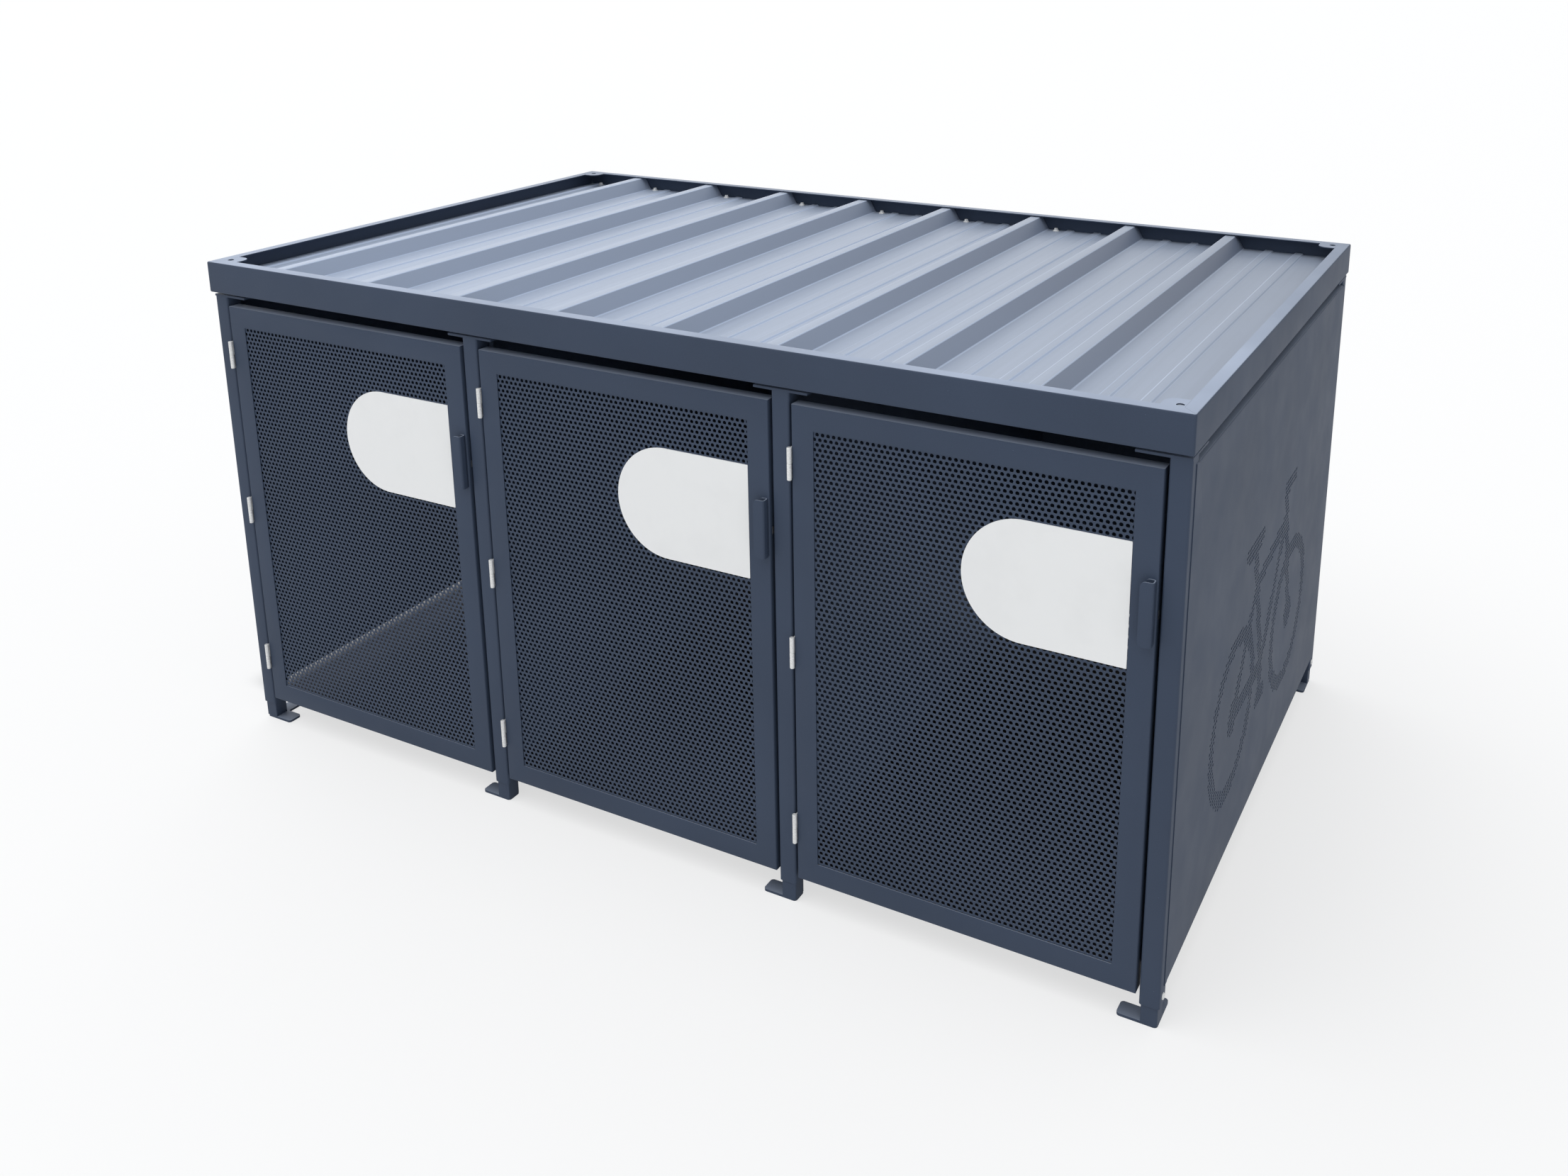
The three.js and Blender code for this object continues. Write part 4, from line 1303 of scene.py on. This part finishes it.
def shade_mask(nodes):
    """One on the floor under the locker and nought away from it, with soft edges."""
    low, high = roof_box()
    place = nodes.split(nodes.place)
    masks = []
    for axis, edge, inwards, (clear, dark) in (
        ("X", low.x, 1.0, SHADE_LEFT), ("X", high.x, -1.0, SHADE_RIGHT),
        ("Y", low.y, 1.0, SHADE_FRONT), ("Y", high.y, -1.0, SHADE_BACK),
    ):
        step = nodes.add("ShaderNodeMapRange", {"Value": place[axis], "From Min": edge + inwards * clear,
                                                "From Max": edge + inwards * dark},
                         interpolation_type="SMOOTHSTEP")
        masks.append(step.outputs["Result"])
    return nodes.product(nodes.product(masks[0], masks[1]), nodes.product(masks[2], masks[3]))


def floor_finish(studio):
    """Matt floor, painted dark under the locker as shade, that elsewhere shows partly as plain white."""
    nodes = Nodes("floor")
    under = shade_mask(nodes)
    nodes.link(nodes.mixed(under, studio.floor, studio.inside), "Base Color")
    nodes.set(Roughness=0.8, Specular_IOR_Level=0.1)
    lifted = nodes.product(nodes.product(seen_rays(nodes.tree), studio.white),
                           nodes.ranged(under, 0.0, 1.0, 1.0, 0.0))
    white = nodes.add("ShaderNodeEmission", {"Color": (1.0, 1.0, 1.0, 1.0), "Strength": 1.0})
    blend = nodes.add("ShaderNodeMixShader", {0: lifted, 1: nodes.shader.outputs[0], 2: white.outputs[0]})
    nodes.tree.links.new(blend.outputs[0], nodes.tree.nodes["Material Output"].inputs["Surface"])
    return nodes.material


def build_floor(scene, studio):
    """A floor that reaches to the horizon."""
    bm = bmesh.new()
    bmesh.ops.create_grid(bm, x_segments=1, y_segments=1, size=FLOOR_REACH)
    mesh = bpy.data.meshes.new("floor")
    bm.to_mesh(mesh)
    bm.free()
    mesh.materials.append(floor_finish(studio))
    floor = bpy.data.objects.new("floor", mesh)
    scene.collection.objects.link(floor)


def build_studio(context):
    """Camera, light and floor, with colours shown as they are."""
    scene, studio = context.scene, context.scene.locker_studio
    scene.view_settings.view_transform = "Standard"
    build_camera(scene, studio)
    build_lamps(scene, studio)
    build_sky(scene, studio)
    build_floor(scene, studio)


# Operators, panel and registration

class LOCKER_OT_studio(bpy.types.Operator):
    """Add the floor, the lights and the camera"""
    bl_idname = "locker.studio"
    bl_label = "Studio"

    def execute(self, context):
        build_studio(context)
        return {"FINISHED"}


class LOCKER_OT_roof_frame(bpy.types.Operator):
    """Add the four folded sides of the roof frame"""
    bl_idname = "locker.roof_frame"
    bl_label = "Roof frame"

    def execute(self, context):
        build_roof_frame(context)
        return {"FINISHED"}


class LOCKER_OT_roof_sheet(bpy.types.Operator):
    """Add the trapezoidal sheet and finish its purlins"""
    bl_idname = "locker.roof_sheet"
    bl_label = "Roof sheet"

    def execute(self, context):
        build_roof_sheet(context)
        return {"FINISHED"}


class LOCKER_OT_posts(bpy.types.Operator):
    """Finish the posts and their feet"""
    bl_idname = "locker.posts"
    bl_label = "Posts and feet"

    def execute(self, context):
        build_posts(context)
        return {"FINISHED"}


class LOCKER_OT_walls(bpy.types.Operator):
    """Add the wall panels with the bicycle sign and finish the partitions"""
    bl_idname = "locker.walls"
    bl_label = "Walls"

    def execute(self, context):
        build_walls(context)
        return {"FINISHED"}


class LOCKER_OT_door_frames(bpy.types.Operator):
    """Add the folded door frames"""
    bl_idname = "locker.door_frames"
    bl_label = "Door frames"

    def execute(self, context):
        build_door_frames(context)
        return {"FINISHED"}


class LOCKER_OT_perforated_sheets(bpy.types.Operator):
    """Add the perforated sheets of the doors"""
    bl_idname = "locker.perforated_sheets"
    bl_label = "Perforated sheets"

    def execute(self, context):
        build_perforated_sheets(context)
        return {"FINISHED"}


class LOCKER_OT_plates(bpy.types.Operator):
    """Add the blank plates in the door windows"""
    bl_idname = "locker.plates"
    bl_label = "Blank plates"

    def execute(self, context):
        build_plates(context)
        return {"FINISHED"}


class LOCKER_OT_handles(bpy.types.Operator):
    """Add the edge pulls"""
    bl_idname = "locker.handles"
    bl_label = "Handles"

    def execute(self, context):
        build_handles(context)
        return {"FINISHED"}


class LOCKER_OT_hinges(bpy.types.Operator):
    """Add both halves of all hinges"""
    bl_idname = "locker.hinges"
    bl_label = "Hinges"

    def execute(self, context):
        build_hinges(context)
        return {"FINISHED"}


class LOCKER_OT_locks(bpy.types.Operator):
    """Finish the lock cases and bolts"""
    bl_idname = "locker.locks"
    bl_label = "Locks"

    def execute(self, context):
        build_locks(context)
        return {"FINISHED"}


class LOCKER_OT_fasteners(bpy.types.Operator):
    """Add the roof screws and the post bolts"""
    bl_idname = "locker.fasteners"
    bl_label = "Screws and bolts"

    def execute(self, context):
        build_roof_screws(context)
        build_clamp_bolts(context)
        return {"FINISHED"}


SETTINGS = (
    ("locker_roof", RoofSizes), ("locker_walls", WallSizes), ("locker_doors", DoorSizes),
    ("locker_fasteners", FastenerSizes), ("locker_finishes", Finishes), ("locker_studio", StudioSettings),
)
OPERATORS = (
    LOCKER_OT_studio, LOCKER_OT_roof_frame, LOCKER_OT_roof_sheet, LOCKER_OT_posts, LOCKER_OT_walls,
    LOCKER_OT_door_frames, LOCKER_OT_perforated_sheets, LOCKER_OT_plates, LOCKER_OT_handles,
    LOCKER_OT_hinges, LOCKER_OT_locks, LOCKER_OT_fasteners,
)


class LOCKER_PT_panel(bpy.types.Panel):
    """Lists the pieces of the locker and their settings"""
    bl_idname = "LOCKER_PT_panel"
    bl_label = "Bicycle locker"
    bl_space_type = "VIEW_3D"
    bl_region_type = "UI"
    bl_category = "Bicycle locker"

    def draw(self, context):
        for operator in OPERATORS:
            self.layout.operator(operator.bl_idname)
        for name, group in SETTINGS:
            box = self.layout.box()
            box.label(text=group.__doc__)
            held = getattr(context.scene, name)
            for key in group.__annotations__:
                box.prop(held, key)


def register():
    """Makes the settings, the operators and the panel known to Blender."""
    for name, group in SETTINGS:
        bpy.utils.register_class(group)
        setattr(bpy.types.Scene, name, PointerProperty(type=group))
    for operator in OPERATORS:
        bpy.utils.register_class(operator)
    bpy.utils.register_class(LOCKER_PT_panel)


def unregister():
    """Takes them out again, last ones first."""
    bpy.utils.unregister_class(LOCKER_PT_panel)
    for operator in reversed(OPERATORS):
        bpy.utils.unregister_class(operator)
    for name, group in reversed(SETTINGS):
        delattr(bpy.types.Scene, name)
        bpy.utils.unregister_class(group)


def main():
    """Builds every piece."""
    register()
    for operator in OPERATORS:
        category, name = operator.bl_idname.split(".")
        getattr(getattr(bpy.ops, category), name)()
    bpy.context.view_layer.update()


if __name__ == "__main__":
    main()
